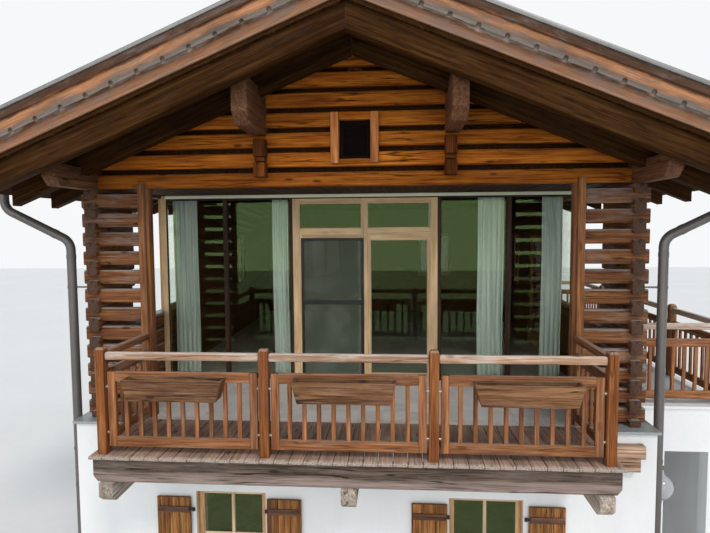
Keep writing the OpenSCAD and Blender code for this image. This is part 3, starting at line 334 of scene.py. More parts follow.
# Timbers: dark, middle and light of the grain, grey patches, grey on top, its tint, and what is not usual
firm = dict(cracks=0.5, knots=0.5)
cracked = dict(cracks=1.0, bump=0.8)
joinery = dict(cracks=0.0, knots=0.2, roughness=0.5, bump=0.2, spread=0.2, rings=30)
usual = (300, 270, 240)
woods = {
    "logWood": ((58, 19, 7), (168, 62, 21), (275, 130, 52), 0.35, 0.85, (290, 265, 250), {}),
    "gableWood": ((130, 30, 3), (335, 92, 8), (480, 175, 22), 0.06, 0.2, (240, 170, 100),
                  dict(spread=0.5, specular=0.08)),
    # the stubs take the gable logs' wood darkened: painted shade under the purlins
    "stubWood": ((45, 10, 2), (105, 26, 4), (200, 70, 12), 0.06, 0.2, (220, 140, 80),
                 dict(spread=0.5, specular=0.08)),
    "darkWood": ((18, 7, 2), (43, 17, 4.5), (78, 34, 10), 0.06, 0.3, (130, 90, 60), dict(firm, specular=0.04)),
    "purlinWood": ((60, 24, 11), (125, 52, 22), (200, 92, 42), 0.12, 0.3, (220, 160, 120),
                   dict(cracks=0.7, knots=0.5)),
    "ceilingWood": ((25, 11, 5), (55, 24, 11), (95, 45, 20), 0.04, 0.0, usual, dict(cracks=0.3)),
    "jambWood": ((100, 36, 14), (225, 90, 33), (340, 155, 66), 0.15, 0.4, (400, 300, 230), firm),
    "postWood": ((95, 28, 7), (215, 68, 16.5), (370, 140, 44), 0.06, 0.7, (420, 330, 270), firm),
    "railWood": ((120, 40, 14), (260, 98, 37), (420, 190, 80), 0.2, 0.6, (360, 280, 230), firm),
    "casingWood": ((180, 52, 15), (390, 130, 34), (540, 235, 80), 0.08, 0.2, (400, 300, 230), firm),
    "handrailWood": ((240, 130, 80), (430, 260, 165), (600, 420, 310), 0.75, 0.8, (630, 540, 490),
                     dict(cracks=0.6)),
    "paleRail": ((330, 215, 150), (550, 410, 310), (700, 560, 460), 0.6, 0.8, (620, 530, 480),
                 dict(cracks=0.6)),
    # the paler lower band of the beam is painted sunlight
    "beamWood": ((30, 19.5, 14), (86, 58, 43), (180, 132, 106), 0.5, 0.6, (200, 168, 148),
                 dict(cracked, strip=("Z", beamLow + 0.115, beamLow + 0.075, (310, 235, 205), 0.75))),
    "bracketWood": ((180, 135, 105), (380, 305, 245), (550, 470, 400), 0.4, 0.6, (380, 345, 315), cracked),
    "sawnWood": ((180, 90, 50), (400, 235, 155), (600, 420, 310), 0.2, 0.4, usual, {}),
    # the pale strip along the deck's front edge is painted sunlight
    "deckWood": ((150, 83, 56), (325, 190, 132), (470, 305, 220), 0.25, 0.2, (500, 400, 340),
                 dict(cracks=0.5, spread=0.5,
                      strip=("Y", deckFront + 0.06, deckFront + 0.035, (500, 405, 350), 0.75))),
    "boxWood": ((56, 21, 9), (148, 66, 28), (265, 137, 63), 0.25, 0.5, (340, 235, 170), dict(bump=0.7)),
    "shutterWood": ((75, 25, 8), (230, 88, 25), (430, 215, 68), 0.05, 0.3, usual, dict(spread=0.6)),
    "battenWood": ((60, 23, 12), (135, 55, 30), (210, 100, 56), 0.15, 0.3, usual, {}),
    "frameWood": ((560, 370, 190), (740, 520, 290), (840, 640, 400), 0.0, 0.1, usual, joinery),
    "windowWood": ((380, 200, 80), (560, 330, 150), (700, 475, 250), 0.0, 0.1, usual,
                   dict(joinery, knots=0.25)),
    "revealWood": ((420, 220, 120), (600, 360, 220), (700, 470, 310), 0.0, 0.1, usual, joinery),
    "creamWood": ((480, 360, 220), (600, 470, 310), (700, 580, 410), 0.0, 0.1, usual,
                  dict(joinery, knots=0.0, bump=0.1, spread=0.1, rings=55)),
    "mullionWood": ((20, 11, 7), (45, 24, 14), (80, 43, 25), 0.0, 0.1, usual,
                    dict(joinery, cracks=0.2, spread=0.35, rings=55)),
    "liningWood": ((120, 52, 20), (240, 115, 48), (350, 185, 85), 0.0, 0.0, usual,
                   dict(cracks=0.1, roughness=0.5, bump=0.25)),
    "casementWood": ((5, 3, 2), (11, 6, 4), (20, 11, 7), 0.0, 0.0, usual,
                     dict(cracks=0.2, knots=0.2, specular=0.03)),
}
ends = {
    "logEnd": ((45, 30, 21), (105, 75, 56), (180, 140, 112)),
    # the deck boards' front ends are paler: painted sunlight on the end grain
    "paleEnd": ((170, 125, 97), (400, 315, 262), (580, 485, 415)),
    "redEnd": ((25, 14, 9), (72, 36, 22), (140, 76, 50)),
    "brownEnd": ((60, 28, 14), (150, 75, 40), (240, 130, 75)),
}
# Dark, light, roughness, metallic, size of the specks, bump and stretch
specks = {
    "concrete": ((250, 250, 240), (420, 420, 400)),
    "stone": ((360, 350, 330), (520, 510, 480), 0.8, 0.0, 60),
    "coping": ((270, 300, 300), (380, 410, 415), 0.45, 0.35, 25, 0.12),
    "roofSheet": ((170, 165, 155), (270, 265, 250), 0.45, 0.55, 18, 0.12, (3, 1, 1)),
    "edgeSheet": ((160, 165, 170), (240, 245, 250), 0.4, 0.5, 20, 0.1),
    "pipePaint": ((107, 96, 91), (146, 133, 127), 0.38, 0.35, 22, 0.08, (1, 1, 0.2)),
    "iron": ((12, 12, 13), (35, 34, 34), 0.5, 0.6, 90, 0.4),
    "zinc": ((450, 450, 440), (620, 620, 610), 0.35, 0.85, 80, 0.1),
    "headRail": ((840, 900, 680), (920, 960, 760), 0.45, 0.0, 14, 0.05, (0.3, 1, 1)),
    "lampGlass": ((320, 320, 340), (430, 430, 450), 0.12, 0.0, 6, 0.0),
}
tile = {"size": 0.3, "joint": 0.005, "depth": 0.003}
finishes = {name: woodFinish(name, *values, **settings) for name, (*values, settings) in woods.items()}
for make, rows in ((endFinish, ends), (speckFinish, specks)):
    finishes.update({name: make(name, *values) for name, values in rows.items()})
finishes.update({
    "verge": vergeFinish("verge"), "plaster": plasterFinish("plaster"), "cloth": clothFinish("cloth"),
    "flyMesh": meshFinish("flyMesh"), "tiles": tileFinish("tiles", tile["size"]),
    "windowGlass": glassFinish("windowGlass", tint=(900, 950, 880), paintedReflection=(300, 460, 180),
                               paintedGroundReflection=(780, 1000, 330), paintedDark=(50, 40, 40))})
print("finishes made:", len(finishes))


# Shape helpers

def startShape():
    bm = bmesh.new()
    bm.verts.layers.float_vector.new("grain")
    bm.verts.layers.float.new("tone")
    return bm


def startShapes(count):
    return [startShape() for _ in range(count)]


def unique(items):
    # a list and not a set, so that each run has the same order
    return list(dict.fromkeys(items))


def facesOf(verts):
    return unique(f for v in verts for f in v.link_faces)


def edgesOf(verts):
    return unique(e for v in verts for e in v.link_edges)


def only(kind, parts):
    return [part for part in parts if isinstance(part, kind)]


def islands(bm):
    groups, seen = [], set()
    for start in bm.verts:
        if start in seen:
            continue
        seen.add(start)
        stack, group = [start], []
        while stack:
            vert = stack.pop()
            group.append(vert)
            for edge in vert.link_edges:
                other = edge.other_vert(vert)
                if other not in seen:
                    seen.add(other)
                    stack.append(other)
        groups.append(group)
    return groups


def grainLayers(bm):
    return bm.verts.layers.float_vector["grain"], bm.verts.layers.float["tone"]


def layGrain(bm, verts, along, tone=None):
    # writes each vertex's place along and across its own timber, and gives end faces the second finish
    grain, shade = grainLayers(bm)
    along = Vector(along).normalized()
    side = along.cross(Vector((0, 0, 1)) if abs(along.z) < 0.9 else Vector((0, 1, 0))).normalized()
    up = side.cross(along)
    middle = sum((v.co for v in verts), Vector()) / len(verts)
    start = draw.uniform(0, 90)
    tone = draw.random() if tone is None else tone
    for vert in verts:
        offset = vert.co - middle
        vert[grain] = (offset.dot(along) + start, offset.dot(side), offset.dot(up))
        vert[shade] = tone
    for face in facesOf(verts):
        if abs(face.normal.dot(along)) > 0.85:
            face.material_index = 1


def oneFinish(bm):
    for face in bm.faces:
        face.material_index = 0


def roundOff(bm, width, segments=2, angle=25):
    for group in islands(bm):
        whole = [e for e in edgesOf(group) if len(e.link_faces) == 2]
        sharp = [e for e in whole if e.calc_face_angle() > math.radians(angle)]
        ops.bevel(bm, geom=sharp, offset=width, offset_type="OFFSET", segments=segments, profile=0.5,
                  affect="EDGES", clamp_overlap=True, material=-1)


def bar(bm, low, high, along=None, place=None):
    # squared timber between two corners, with the grain along its longest side
    low, high = Vector(low), Vector(high)
    size = high - low
    made = ops.create_cube(bm, size=1, matrix=Matrix.LocRotScale((low + high) / 2, None, size))["verts"]
    for face in facesOf(made):
        face.normal_update()
    layGrain(bm, made, along or [1.0 if size[i] == max(size) else 0.0 for i in range(3)])
    if place is not None:
        ops.transform(bm, matrix=place, verts=made)
    return made


def rod(bm, start, end, radius, sides=12, radiusEnd=None):
    start, end = Vector(start), Vector(end)
    turn = (end - start).to_track_quat("Z", "Y")
    place = Matrix.LocRotScale((start + end) / 2, turn, None)
    return ops.create_cone(bm, cap_ends=True, segments=sides, radius1=radius, depth=(end - start).length,
                           radius2=radius if radiusEnd is None else radiusEnd, matrix=place)["verts"]


def turned(bm, outline, middle, steps):
    ops.spin(bm, geom=outline, cent=middle, axis=(0, 0, 1), angle=math.tau, steps=steps, use_merge=True)


def addObject(name, mesh):
    made = bpy.data.objects.new(name, mesh)
    scene.collection.objects.link(made)
    return made


def addPiece(name, bm, looks, replaced, edge=(), body="house"):
    # looks and replaced nodes are words in one string; edge is the width of the rounding and its steps
    if edge:
        roundOff(bm, *edge)
    mesh = bpy.data.meshes.new(name)
    bm.normal_update()
    bm.to_mesh(mesh)
    bm.free()
    for look in looks.split():
        mesh.materials.append(finishes[look])
    mesh.shade_smooth()
    mesh.set_sharp_from_angle(angle=math.radians(38))
    piece = addObject(name, mesh)
    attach(piece, body)
    if replaced:
        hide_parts(*replaced.split())
    return piece


def cadCopy(node):
    # merged copy of a node's mesh, with its flat faces whole again
    bm = startShape()
    bm.from_mesh(nodes[node].data)
    ops.remove_doubles(bm, verts=bm.verts, dist=0.00005)
    ops.dissolve_limit(bm, angle_limit=math.radians(0.5), verts=bm.verts, edges=bm.edges)
    oneFinish(bm)
    bm.normal_update()
    return bm


def cadBoxes(node):
    # low and high corners of a node's solids
    bm = cadCopy(node)
    found = [tuple(Vector([pick(v.co[i] for v in group) for i in range(3)]) for pick in (min, max))
             for group in islands(bm)]
    bm.free()
    return found


def grainedCopy(node):
    # copy of a node of timbers, each with the grain along its longest edge
    bm = cadCopy(node)
    for group in islands(bm):
        longest = max(edgesOf(group), key=lambda e: e.calc_length())
        layGrain(bm, group, longest.verts[1].co - longest.verts[0].co)
    return bm


def crossCut(bm, place, way):
    whole = bm.verts[:] + bm.edges[:] + bm.faces[:]
    ops.bisect_plane(bm, geom=whole, dist=0.0005, plane_co=place, plane_no=way)


def hew(bm, axis, step, depth):
    # cuts timbers across at steps and moves the cuts a little, so that no face is dead flat
    way = Vector([1.0 if i == axis else 0.0 for i in range(3)])
    low, high = (pick(v.co[axis] for v in bm.verts) for pick in (min, max))
    count = int((high - low) / step)
    for i in range(1, count):
        crossCut(bm, way * (low + (high - low) * i / count), way)
    for vert in bm.verts:
        shift = noise.noise_vector(vert.co * 2.3 + Vector((0, 0, 9.1 * round(vert.co.z * 4)))) * depth
        shift[axis] = 0
        vert.co += shift


def cutBoards(bm, facing, across, seams, width=0.008, depth=0.005):
    # V joints between boards on the faces that look one way
    facing, across = Vector(facing).normalized(), Vector(across).normalized()
    for seam in seams:
        for shift in (-width / 2, width / 2, 0):
            faces = [f for f in bm.faces if f.normal.dot(facing) > 0.995]
            parts = unique(faces + [e for f in faces for e in f.edges] + [v for f in faces for v in f.verts])
            cut = ops.bisect_plane(bm, geom=parts, dist=0.0001, plane_co=across * (seam + shift),
                                   plane_no=across)["geom_cut"]
        for vert in only(bmesh.types.BMVert, cut):
            vert.co -= facing * depth


def boardGrain(bm, along, across, pitch, first=0.0):
    # each board gets its own stretch of grain and its own tone
    grain, shade = grainLayers(bm)
    along, across = Vector(along).normalized(), Vector(across).normalized()
    third = along.cross(across)
    starts = {}
    for vert in bm.verts:
        board = math.floor((vert.co.dot(across) - first) / pitch)
        start, tone = starts.setdefault(board, (draw.uniform(0, 90), draw.random()))
        side = vert.co.dot(across) - (board + 0.5) * pitch
        vert[grain] = (vert.co.dot(along) + start, side, vert.co.dot(third))
        vert[shade] = tone


# Kept nodes take a finish on their own slots
keptLooks = {"plaster": "front_wall left_wall right_wall back_wall upper_floor gallery_floor gallery_walls",
             "concrete": "ground_slab", "coping": "wall_coping", "stone": "window_sills",
             "iron": "shutter_pintles", "pipePaint": "gutters pipe_clamps", "edgeSheet": "ridge_cap",
             "windowGlass": "window_panes"}
for look, names in keptLooks.items():
    for node in names.split():
        kept = nodes[node].data.materials
        kept.clear()
        kept.append(finishes[look])

# Timbers whose form is the node's own: finishes of sides and ends, slot, edge radius, hewing's axis and depth
timbers = {
    "front_corner_logs": ("logWood logEnd", "log_wood", 0.003, 0, 0.0025),
    "left_logs": ("logWood redEnd", "log_wood", 0.003, 1, 0.0025),
    "right_logs": ("logWood redEnd", "log_wood", 0.003, 1, 0.0025),
    "back_logs": ("logWood logEnd", "log_wood", 0.003, 0, 0.0025),
    "gable_logs": ("gableWood logEnd", "log_wood", 0.003, 0, 0.0025),
    "lintel_beam": ("gableWood logEnd", "log_wood", 0.004, 0, 0.002),
    "purlin_stubs": ("stubWood stubWood", "log_wood", 0.006, None, 0),
    "wall_beam_ends": ("sawnWood logEnd", "log_wood", 0.005, None, 0),
    "jamb_posts": ("jambWood brownEnd", "rail_wood", 0.005, 2, 0.0015),
    "purlins": ("purlinWood purlinWood", "stained_wood", 0.006, 1, 0.002),
    "rafters": ("darkWood brownEnd", "dark_wood", 0.005, None, 0),
    "balcony_brackets": ("bracketWood bracketWood", "stained_wood", 0.006, None, 0),
    "balcony_frame": ("beamWood beamWood", "stained_wood", 0.005, 0, 0.003),
}
hewStep = 0.35
for node, (looks, slotName, edge, axis, depth) in timbers.items():
    shape = grainedCopy(node)
    roundOff(shape, edge)
    if axis is not None:
        hew(shape, axis, hewStep, depth)
    addPiece(node.replace("_", "-") + "-timber", shape, looks, node)
print("timbers made:", len(timbers))

# Roof: soffit boards under the build-up, verge boards, standing seams
roof = {"boardPitch": 0.145, "firstBoard": 0.2, "lastBoard": 0.06, "seamPitch": 0.53, "seamHeight": 0.024,
        "seamWidth": 0.02, "seamSink": 0.004, "seamIn": 0.05, "seamTop": 0.01, "seamFoot": 0.02,
        "capReach": 0.17, "stripWidth": 0.027, "stripIn": 0.014, "stripDrop": 0.012, "stripTop": 0.02,
        "stripFoot": 0.012, "stripLow": 0.02, "stripHigh": 0.016}
slopeDown = Vector((1, 0, -roofTan)).normalized()
sheetLow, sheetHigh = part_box("roof_sheet")


def slopePlace(side, x, y):
    # a place on the roof sheet, with X down the slope at the right and up it at the left
    middle = Vector((side * x, y, sheetHigh.z - x * roofTan))
    return Matrix.Translation(middle) @ Matrix.Rotation(side * math.atan(roofTan), 4, "Y")


for side, node in ((1, "right_roof"), (-1, "left_roof")):
    down = Vector((side * slopeDown.x, 0, slopeDown.z))
    shape = cadCopy(node)
    reach = sorted(v.co.dot(down) for v in shape.verts)
    seams = [reach[0] + roof["firstBoard"]]
    while seams[-1] + roof["boardPitch"] < reach[-1] - roof["lastBoard"]:
        seams.append(seams[-1] + roof["boardPitch"])
    cutBoards(shape, (side * slopeDown.z, 0, -slopeDown.x), down, seams)
    boardGrain(shape, (0, 1, 0), down, roof["boardPitch"], seams[0])
    addPiece(node + "-soffit", shape, "darkWood", node)

shape = grainedCopy("verge_boards")
oneFinish(shape)
addPiece("verge-boards-stepped", shape, "verge", "verge_boards", (0.004,))

sheet, strips = cadCopy("roof_sheet"), startShape()
seamSpan = sheetHigh.y - sheetLow.y - 2 * roof["seamIn"]
seamCount = round(seamSpan / roof["seamPitch"])
half = (sheetHigh.x - roof["capReach"]) / slopeDown.x / 2
for side in (1, -1):
    for i in range(seamCount + 1):
        place = slopePlace(side, (roof["capReach"] + sheetHigh.x) / 2,
                           sheetLow.y + roof["seamIn"] + i * seamSpan / seamCount)
        bar(sheet, (roof["seamTop"] - half, -roof["seamWidth"] / 2, -roof["seamSink"]),
            (half - roof["seamFoot"], roof["seamWidth"] / 2, roof["seamHeight"]), (1, 0, 0), place)
oneFinish(sheet)
addPiece("roof-sheet-seamed", sheet, "roofSheet", "roof_sheet", (0.003,))

# Folded edge strip along the verges
half = sheetHigh.x / slopeDown.x / 2
for end in (-1, 1):
    for side in (1, -1):
        place = slopePlace(side, sheetHigh.x / 2, end * (sheetHigh.y - roof["stripIn"]))
        place.translation.z -= roof["stripDrop"]
        wide = roof["stripWidth"] / 2
        bar(strips, (roof["stripTop"] - half, -wide, -roof["stripLow"]),
            (half - roof["stripFoot"], wide, roof["stripHigh"]), (1, 0, 0), place)
oneFinish(strips)
addPiece("verge-edge-strip", strips, "edgeSheet", "", (0.005,))
print("roof made")

# Boards inside: linings and loggia ceiling
liningPitch = 0.16
for node, look in (("wall_lining", "liningWood"), ("gable_lining", "darkWood")):
    shape = cadCopy(node)
    boardGrain(shape, (0, 1, 0.001), (0, 0, 1), liningPitch)
    addPiece(node + "-boards", shape, look, node)
shape = cadCopy("loggia_ceiling")
ceilingLow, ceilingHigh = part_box("loggia_ceiling")
boardCount = 42
ceilingPitch = (ceilingHigh.x - ceilingLow.x) / boardCount
cutBoards(shape, (0, 0, -1), (1, 0, 0), [ceilingLow.x + i * ceilingPitch for i in range(1, boardCount)])
boardGrain(shape, (0, 1, 0), (1, 0, 0), ceilingPitch, ceilingLow.x)
addPiece("loggia-ceiling-boards", shape, "ceilingWood", "loggia_ceiling")


# Floors

def jointedPlate(bm, low, high):
    # plate of tiles with sunk joints between them
    columns, rows = (max(1, round((high[i] - low[i]) / tile["size"])) for i in (0, 1))
    grid = ops.create_grid(bm, x_segments=columns, y_segments=rows, size=0.5)["verts"]
    ops.scale(bm, vec=(high[0] - low[0], high[1] - low[1], 1), verts=grid)
    ops.translate(bm, vec=((low[0] + high[0]) / 2, (low[1] + high[1]) / 2, high[2]), verts=grid)
    faces = facesOf(grid)
    ops.inset_individual(bm, faces=faces, thickness=tile["joint"] / 2, depth=0)
    for vert in grid:
        vert.co.z -= tile["depth"]
    under = ops.extrude_face_region(bm, geom=unique(facesOf(grid) + faces))["geom"]
    for vert in only(bmesh.types.BMVert, under):
        vert.co.z = low[2]
    ops.recalc_face_normals(bm, faces=bm.faces[:])


# The floor runs out between the jambs, past its back part
finishLow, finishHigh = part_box("floor_finish")
jambInside = -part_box("jamb_posts")[0].x - 0.109
backStrip = finishLow.y + 0.198
shape = startShape()
jointedPlate(shape, (finishLow.x, backStrip, finishLow.z), finishHigh)
jointedPlate(shape, (-jambInside, finishLow.y, finishLow.z), (jambInside, backStrip - 0.002, finishHigh.z))
addPiece("floor-tiles", shape, "tiles", "floor_finish")

deck = {"board": 0.139, "gap": 0.006, "ragged": 0.008}
deckLow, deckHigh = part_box("balcony_deck")
deckCount = round((deckHigh.x - deckLow.x) / deck["board"])
deckPitch = (deckHigh.x - deckLow.x) / deckCount
shape = startShape()
for i in range(deckCount):
    x = deckLow.x + i * deckPitch + deck["gap"] / 2
    ragged = draw.uniform(0, deck["ragged"])
    bar(shape, (x, deckLow.y + ragged, deckLow.z), (x + deckPitch - deck["gap"], deckHigh.y, deckHigh.z))
addPiece("deck-boards", shape, "deckWood paleEnd", "balcony_deck", (0.004,))
print("floors made")

# Railings
railing = {"postWidth": 0.091, "headIn": 0.018, "headDrop": 0.022, "railLow": 0.921, "railHigh": 0.998,
           "railWidth": 0.064, "panelLow": 0.074, "panelHigh": 0.809, "panelRail": 0.098, "panelWidth": 0.044,
           "stile": 0.075, "baluster": 0.040, "balusterDepth": 0.030, "balusterPitch": 0.138, "spacer": 0.020,
           "boltLow": 0.135, "boltHigh": 0.150, "bolt": 0.010, "washer": 0.019, "washerThick": 0.004}
railRounding = (0.017, 3)
postHalf = railing["postWidth"] / 2
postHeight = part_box("balcony_posts")[1].z - floorZ


def railingPost(bm, x, y):
    made = bar(bm, (x - postHalf, y - postHalf, floorZ),
               (x + postHalf, y + postHalf, floorZ + postHeight - railing["headDrop"]))
    cap = max(facesOf(made), key=lambda f: f.calc_center_median().z)
    raised = ops.extrude_face_region(bm, geom=[cap])["geom"]
    ops.delete(bm, geom=[cap], context="FACES_ONLY")
    shrink = 1 - railing["headIn"] / postHalf
    for vert in only(bmesh.types.BMVert, raised):
        vert.co = Vector((x + (vert.co.x - x) * shrink, y + (vert.co.y - y) * shrink, floorZ + postHeight))


def railingPanel(bm, length, place):
    half, stile, rail = railing["panelWidth"] / 2, railing["stile"], railing["panelRail"]
    wide, deep = railing["baluster"] / 2, railing["balusterDepth"] / 2
    start, end = railing["spacer"], length - railing["spacer"]
    low, high = railing["panelLow"], railing["panelHigh"]
    for x in (start, end - stile):
        bar(bm, (x, -half, low), (x + stile, half, high), place=place)
    for z in (low, high - rail):
        bar(bm, (start + stile, -half + 0.001, z), (end - stile, half - 0.001, z + rail), place=place)
    clear = end - start - stile
    count = max(1, round(clear / railing["balusterPitch"]))
    for i in range(1, count):
        x = start + stile / 2 + i * clear / count
        bar(bm, (x - wide, -deep, low + rail - 0.004), (x + wide, deep, high - rail + 0.004), place=place)


def panelBolts(bm, length, place):
    thick, spacer = railing["washerThick"], railing["spacer"]
    for z in (railing["panelLow"] + railing["boltLow"], railing["panelHigh"] - railing["boltHigh"]):
        for x, way in ((0, 1), (length, -1)):
            for start, end, part, sides in ((0, spacer, "bolt", 10), (0, thick, "washer", 14),
                                            (spacer - thick, spacer, "washer", 14)):
                made = rod(bm, (x + way * start, 0, z), (x + way * end, 0, z), railing[part], sides)
                ops.transform(bm, matrix=place, verts=made)


def fillBay(panels, rails, bolts, x, y, turn, length):
    place = Matrix.Translation((x, y, floorZ)) @ Matrix.Rotation(turn, 4, "Z")
    half = railing["railWidth"] / 2
    railingPanel(panels, length, place)
    bar(rails, (0, -half, railing["railLow"]), (length, half, railing["railHigh"]), place=place)
    panelBolts(bolts, length, place)


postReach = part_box("balcony_posts")[1].x - postHalf
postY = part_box("balcony_posts")[0].y + postHalf
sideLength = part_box("jamb_posts")[0].y - postY - postHalf
balconyPosts = [(2 * i / 3 - 1) * postReach for i in range(4)]
posts, panels, rails, sideRails, bolts = startShapes(5)
for x in balconyPosts:
    railingPost(posts, x, postY)
for x in balconyPosts[:3]:
    fillBay(panels, rails, bolts, x + postHalf, postY, 0, balconyPosts[1] - balconyPosts[0] - 2 * postHalf)
for x in (-postReach, postReach):
    fillBay(panels, sideRails, bolts, x, postY + postHalf, math.pi / 2, sideLength)
addPiece("balcony-posts-squared", posts, "postWood brownEnd", "balcony_posts", (0.006,))
addPiece("balcony-panels-framed", panels, "railWood brownEnd", "balcony_panels", (0.004,))
for name, bm, look in (("balcony-handrail-rounded", rails, "handrailWood"),
                       ("balcony-side-handrails", sideRails, "railWood")):
    addPiece(name, bm, look + " brownEnd", "balcony_handrail", railRounding)
addPiece("balcony-bolts", bolts, "zinc", "")

galleryLow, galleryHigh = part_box("gallery_railing")
posts, rails, bolts = startShapes(3)
innerX, outerX = galleryLow.x + postHalf, galleryHigh.x - postHalf
frontY, backY = galleryLow.y + postHalf, galleryHigh.y - postHalf
galleryBays = 4
galleryStep = (backY - frontY) / galleryBays
for i in range(galleryBays + 1):
    railingPost(posts, outerX, frontY + i * galleryStep)
for y in (frontY, backY):
    railingPost(posts, innerX, y)
    fillBay(posts, rails, bolts, innerX + postHalf, y, 0, outerX - innerX - 2 * postHalf)
for i in range(galleryBays):
    y = frontY + i * galleryStep + postHalf
    fillBay(posts, rails, bolts, outerX, y, math.pi / 2, galleryStep - 2 * postHalf)
addPiece("gallery-railing-framed", posts, "railWood brownEnd", "gallery_railing", (0.005,))
addPiece("gallery-handrail", rails, "paleRail brownEnd", "", railRounding)
addPiece("gallery-bolts", bolts, "zinc", "")
print("railings made")

# Flower boxes: boards nailed at the corners, narrower at the bottom, with worn upper edges
flowerBox = {"wall": 0.022, "baseShare": 0.883, "wear": 0.010, "step": 0.055}
shape = startShape()
for low, high in cadBoxes("flower_boxes"):
    wall = flowerBox["wall"]
    inLow, inHigh = low + Vector((wall, wall, wall)), high - Vector((wall, wall, 0))
    made = []
    for one, two in ((low, (high.x, inLow.y, high.z)), ((low.x, inHigh.y, low.z), high),
                     ((low.x, inLow.y, low.z), (inLow.x, inHigh.y, high.z)),
                     ((inHigh.x, inLow.y, low.z), (high.x, inHigh.y, high.z)),
                     ((inLow.x, inLow.y, low.z), (inHigh.x, inHigh.y, inLow.z))):
        made += bar(shape, one, two)
    middle = (low.x + high.x) / 2
    for vert in made:
        share = flowerBox["baseShare"] + (1 - flowerBox["baseShare"]) * (vert.co.z - low.z) / (high.z - low.z)
        vert.co.x = middle + (vert.co.x - middle) * share
roundOff(shape, 0.003)
boxLow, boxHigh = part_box("flower_boxes")
for i in range(1, int((boxHigh.x - boxLow.x) / flowerBox["step"])):
    crossCut(shape, (boxLow.x + i * flowerBox["step"], 0, 0), (1, 0, 0))
for vert in shape.verts:
    if vert.co.z > boxHigh.z - 0.006:
        vert.co.z -= flowerBox["wear"] * abs(noise.noise(Vector((vert.co.x * 9, vert.co.y * 30, 0))))
addPiece("flower-boxes-boarded", shape, "boxWood brownEnd", "flower_boxes")

# Shutters: boards, battens and hinge straps
shutter = {"thick": 0.025, "pinBack": 0.020, "width": 0.39, "boards": 3, "joint": 0.0012,
           "battenIn": 0.105, "battenHeight": 0.065, "battenSide": 0.015, "battenDepth": 0.022,
           "nail": 0.005, "nailHead": 0.0015, "strapHeight": 0.030, "strapDepth": 0.004, "strapReach": 0.150,
           "rivet": 0.006, "rivetHead": 0.003, "eye": 0.009, "pinHole": 0.0051}


def shutterBoards(boards, battens, width, height, place):
    # front towards -Y, boards from y 0 back to the shutter's thickness, battens in front of them
    each, front = width / shutter["boards"], -shutter["battenDepth"]
    for i in range(shutter["boards"]):
        start, end = i * each + shutter["joint"], (i + 1) * each - shutter["joint"]
        bar(boards, (start, 0, 0), (end, shutter["thick"], height), place=place)
    for z in (shutter["battenIn"], height - shutter["battenIn"] - shutter["battenHeight"]):
        bar(battens, (shutter["battenSide"], front, z),
            (width - shutter["battenSide"], 0.001, z + shutter["battenHeight"]), place=place)
        for i in range(shutter["boards"]):
            for share in (0.25, 0.75):
                x, rise = (i + 0.5) * each, z + share * shutter["battenHeight"]
                head = (x, front - shutter["nailHead"], rise)
                nail = rod(battens, (x, front, rise), head, shutter["nail"], 8)
                ops.transform(battens, matrix=place, verts=nail)


def finishShutter(name, boards, battens, replaced, body="house"):
    for part, bm, look in (("-boards", boards, "shutterWood"), ("-battens", battens, "battenWood")):
        ops.recalc_face_normals(bm, faces=bm.faces[:])
        addPiece(name + part, bm, look + " brownEnd", replaced, (0.003, 1), body)


for number in range(1, 5):
    node, leaf = "shutter_%d" % number, "shutter_leaf_%d" % number
    low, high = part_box(node)
    side = -1 if number % 2 else 1
    pinX = low.x + shutter["eye"] if side > 0 else high.x - shutter["eye"]
    pin = Vector((pinX, high.y - shutter["pinBack"], low.z))
    boards, battens, irons = startShapes(3)
    near, far = (high.x - shutter["width"], high.x) if side > 0 else (low.x, low.x + shutter["width"])
    play = near - pin.x if side > 0 else pin.x - far
    place = Matrix.Translation((near, high.y - shutter["thick"], low.z))
    shutterBoards(boards, battens, far - near, high.z - low.z, place)
    finishShutter("shutter-%d" % number, boards, battens, node, leaf)
    tall, front = shutter["strapHeight"], pin.y - shutter["eye"]
    fromEnd = shutter["battenIn"] + (shutter["battenHeight"] - tall) / 2
    for hinge in (fromEnd, high.z - low.z - fromEnd - tall):
        z = low.z + hinge
        outline = [irons.verts.new(pin + Vector((r, 0, hinge + h))) for r, h in (
            (shutter["pinHole"], 0), (shutter["eye"], 0), (shutter["eye"], tall), (shutter["pinHole"], tall))]
        edges = [irons.edges.new((outline[i], outline[i - 1])) for i in range(4)]
        turned(irons, outline + edges, pin, 20)
        start, end = sorted((pin.x + side * 0.004, pin.x + side * (play + shutter["strapReach"])))
        bar(irons, (start, front, z), (end, front + shutter["strapDepth"], z + tall))
        for reach in (0.04, 0.12):
            x, middle = pin.x + side * (play + reach), z + tall / 2
            rod(irons, (x, front, middle), (x, front - shutter["rivetHead"], middle), shutter["rivet"], 8)
    ops.recalc_face_normals(irons, faces=irons.faces[:])
    addPiece("shutter-%d-straps" % number, irons, "iron", "", body=leaf)

boards, battens = startShapes(2)
for low, high in cadBoxes("side_shutters"):
    width = max(high.x - low.x, high.y - low.y)
    if high.x - low.x > high.y - low.y:
        turn, corner = math.pi, (high.x, low.y + shutter["thick"], low.z)
    elif low.x > 0:
        turn, corner = math.pi / 2, (low.x + shutter["thick"], low.y, low.z)
    else:
        turn, corner = -math.pi / 2, (high.x - shutter["thick"], high.y, low.z)
    place = Matrix.Translation(corner) @ Matrix.Rotation(turn, 4, "Z")
    shutterBoards(boards, battens, width, high.z - low.z, place)
finishShutter("side-shutters", boards, battens, "side_shutters")
print("shutters made")

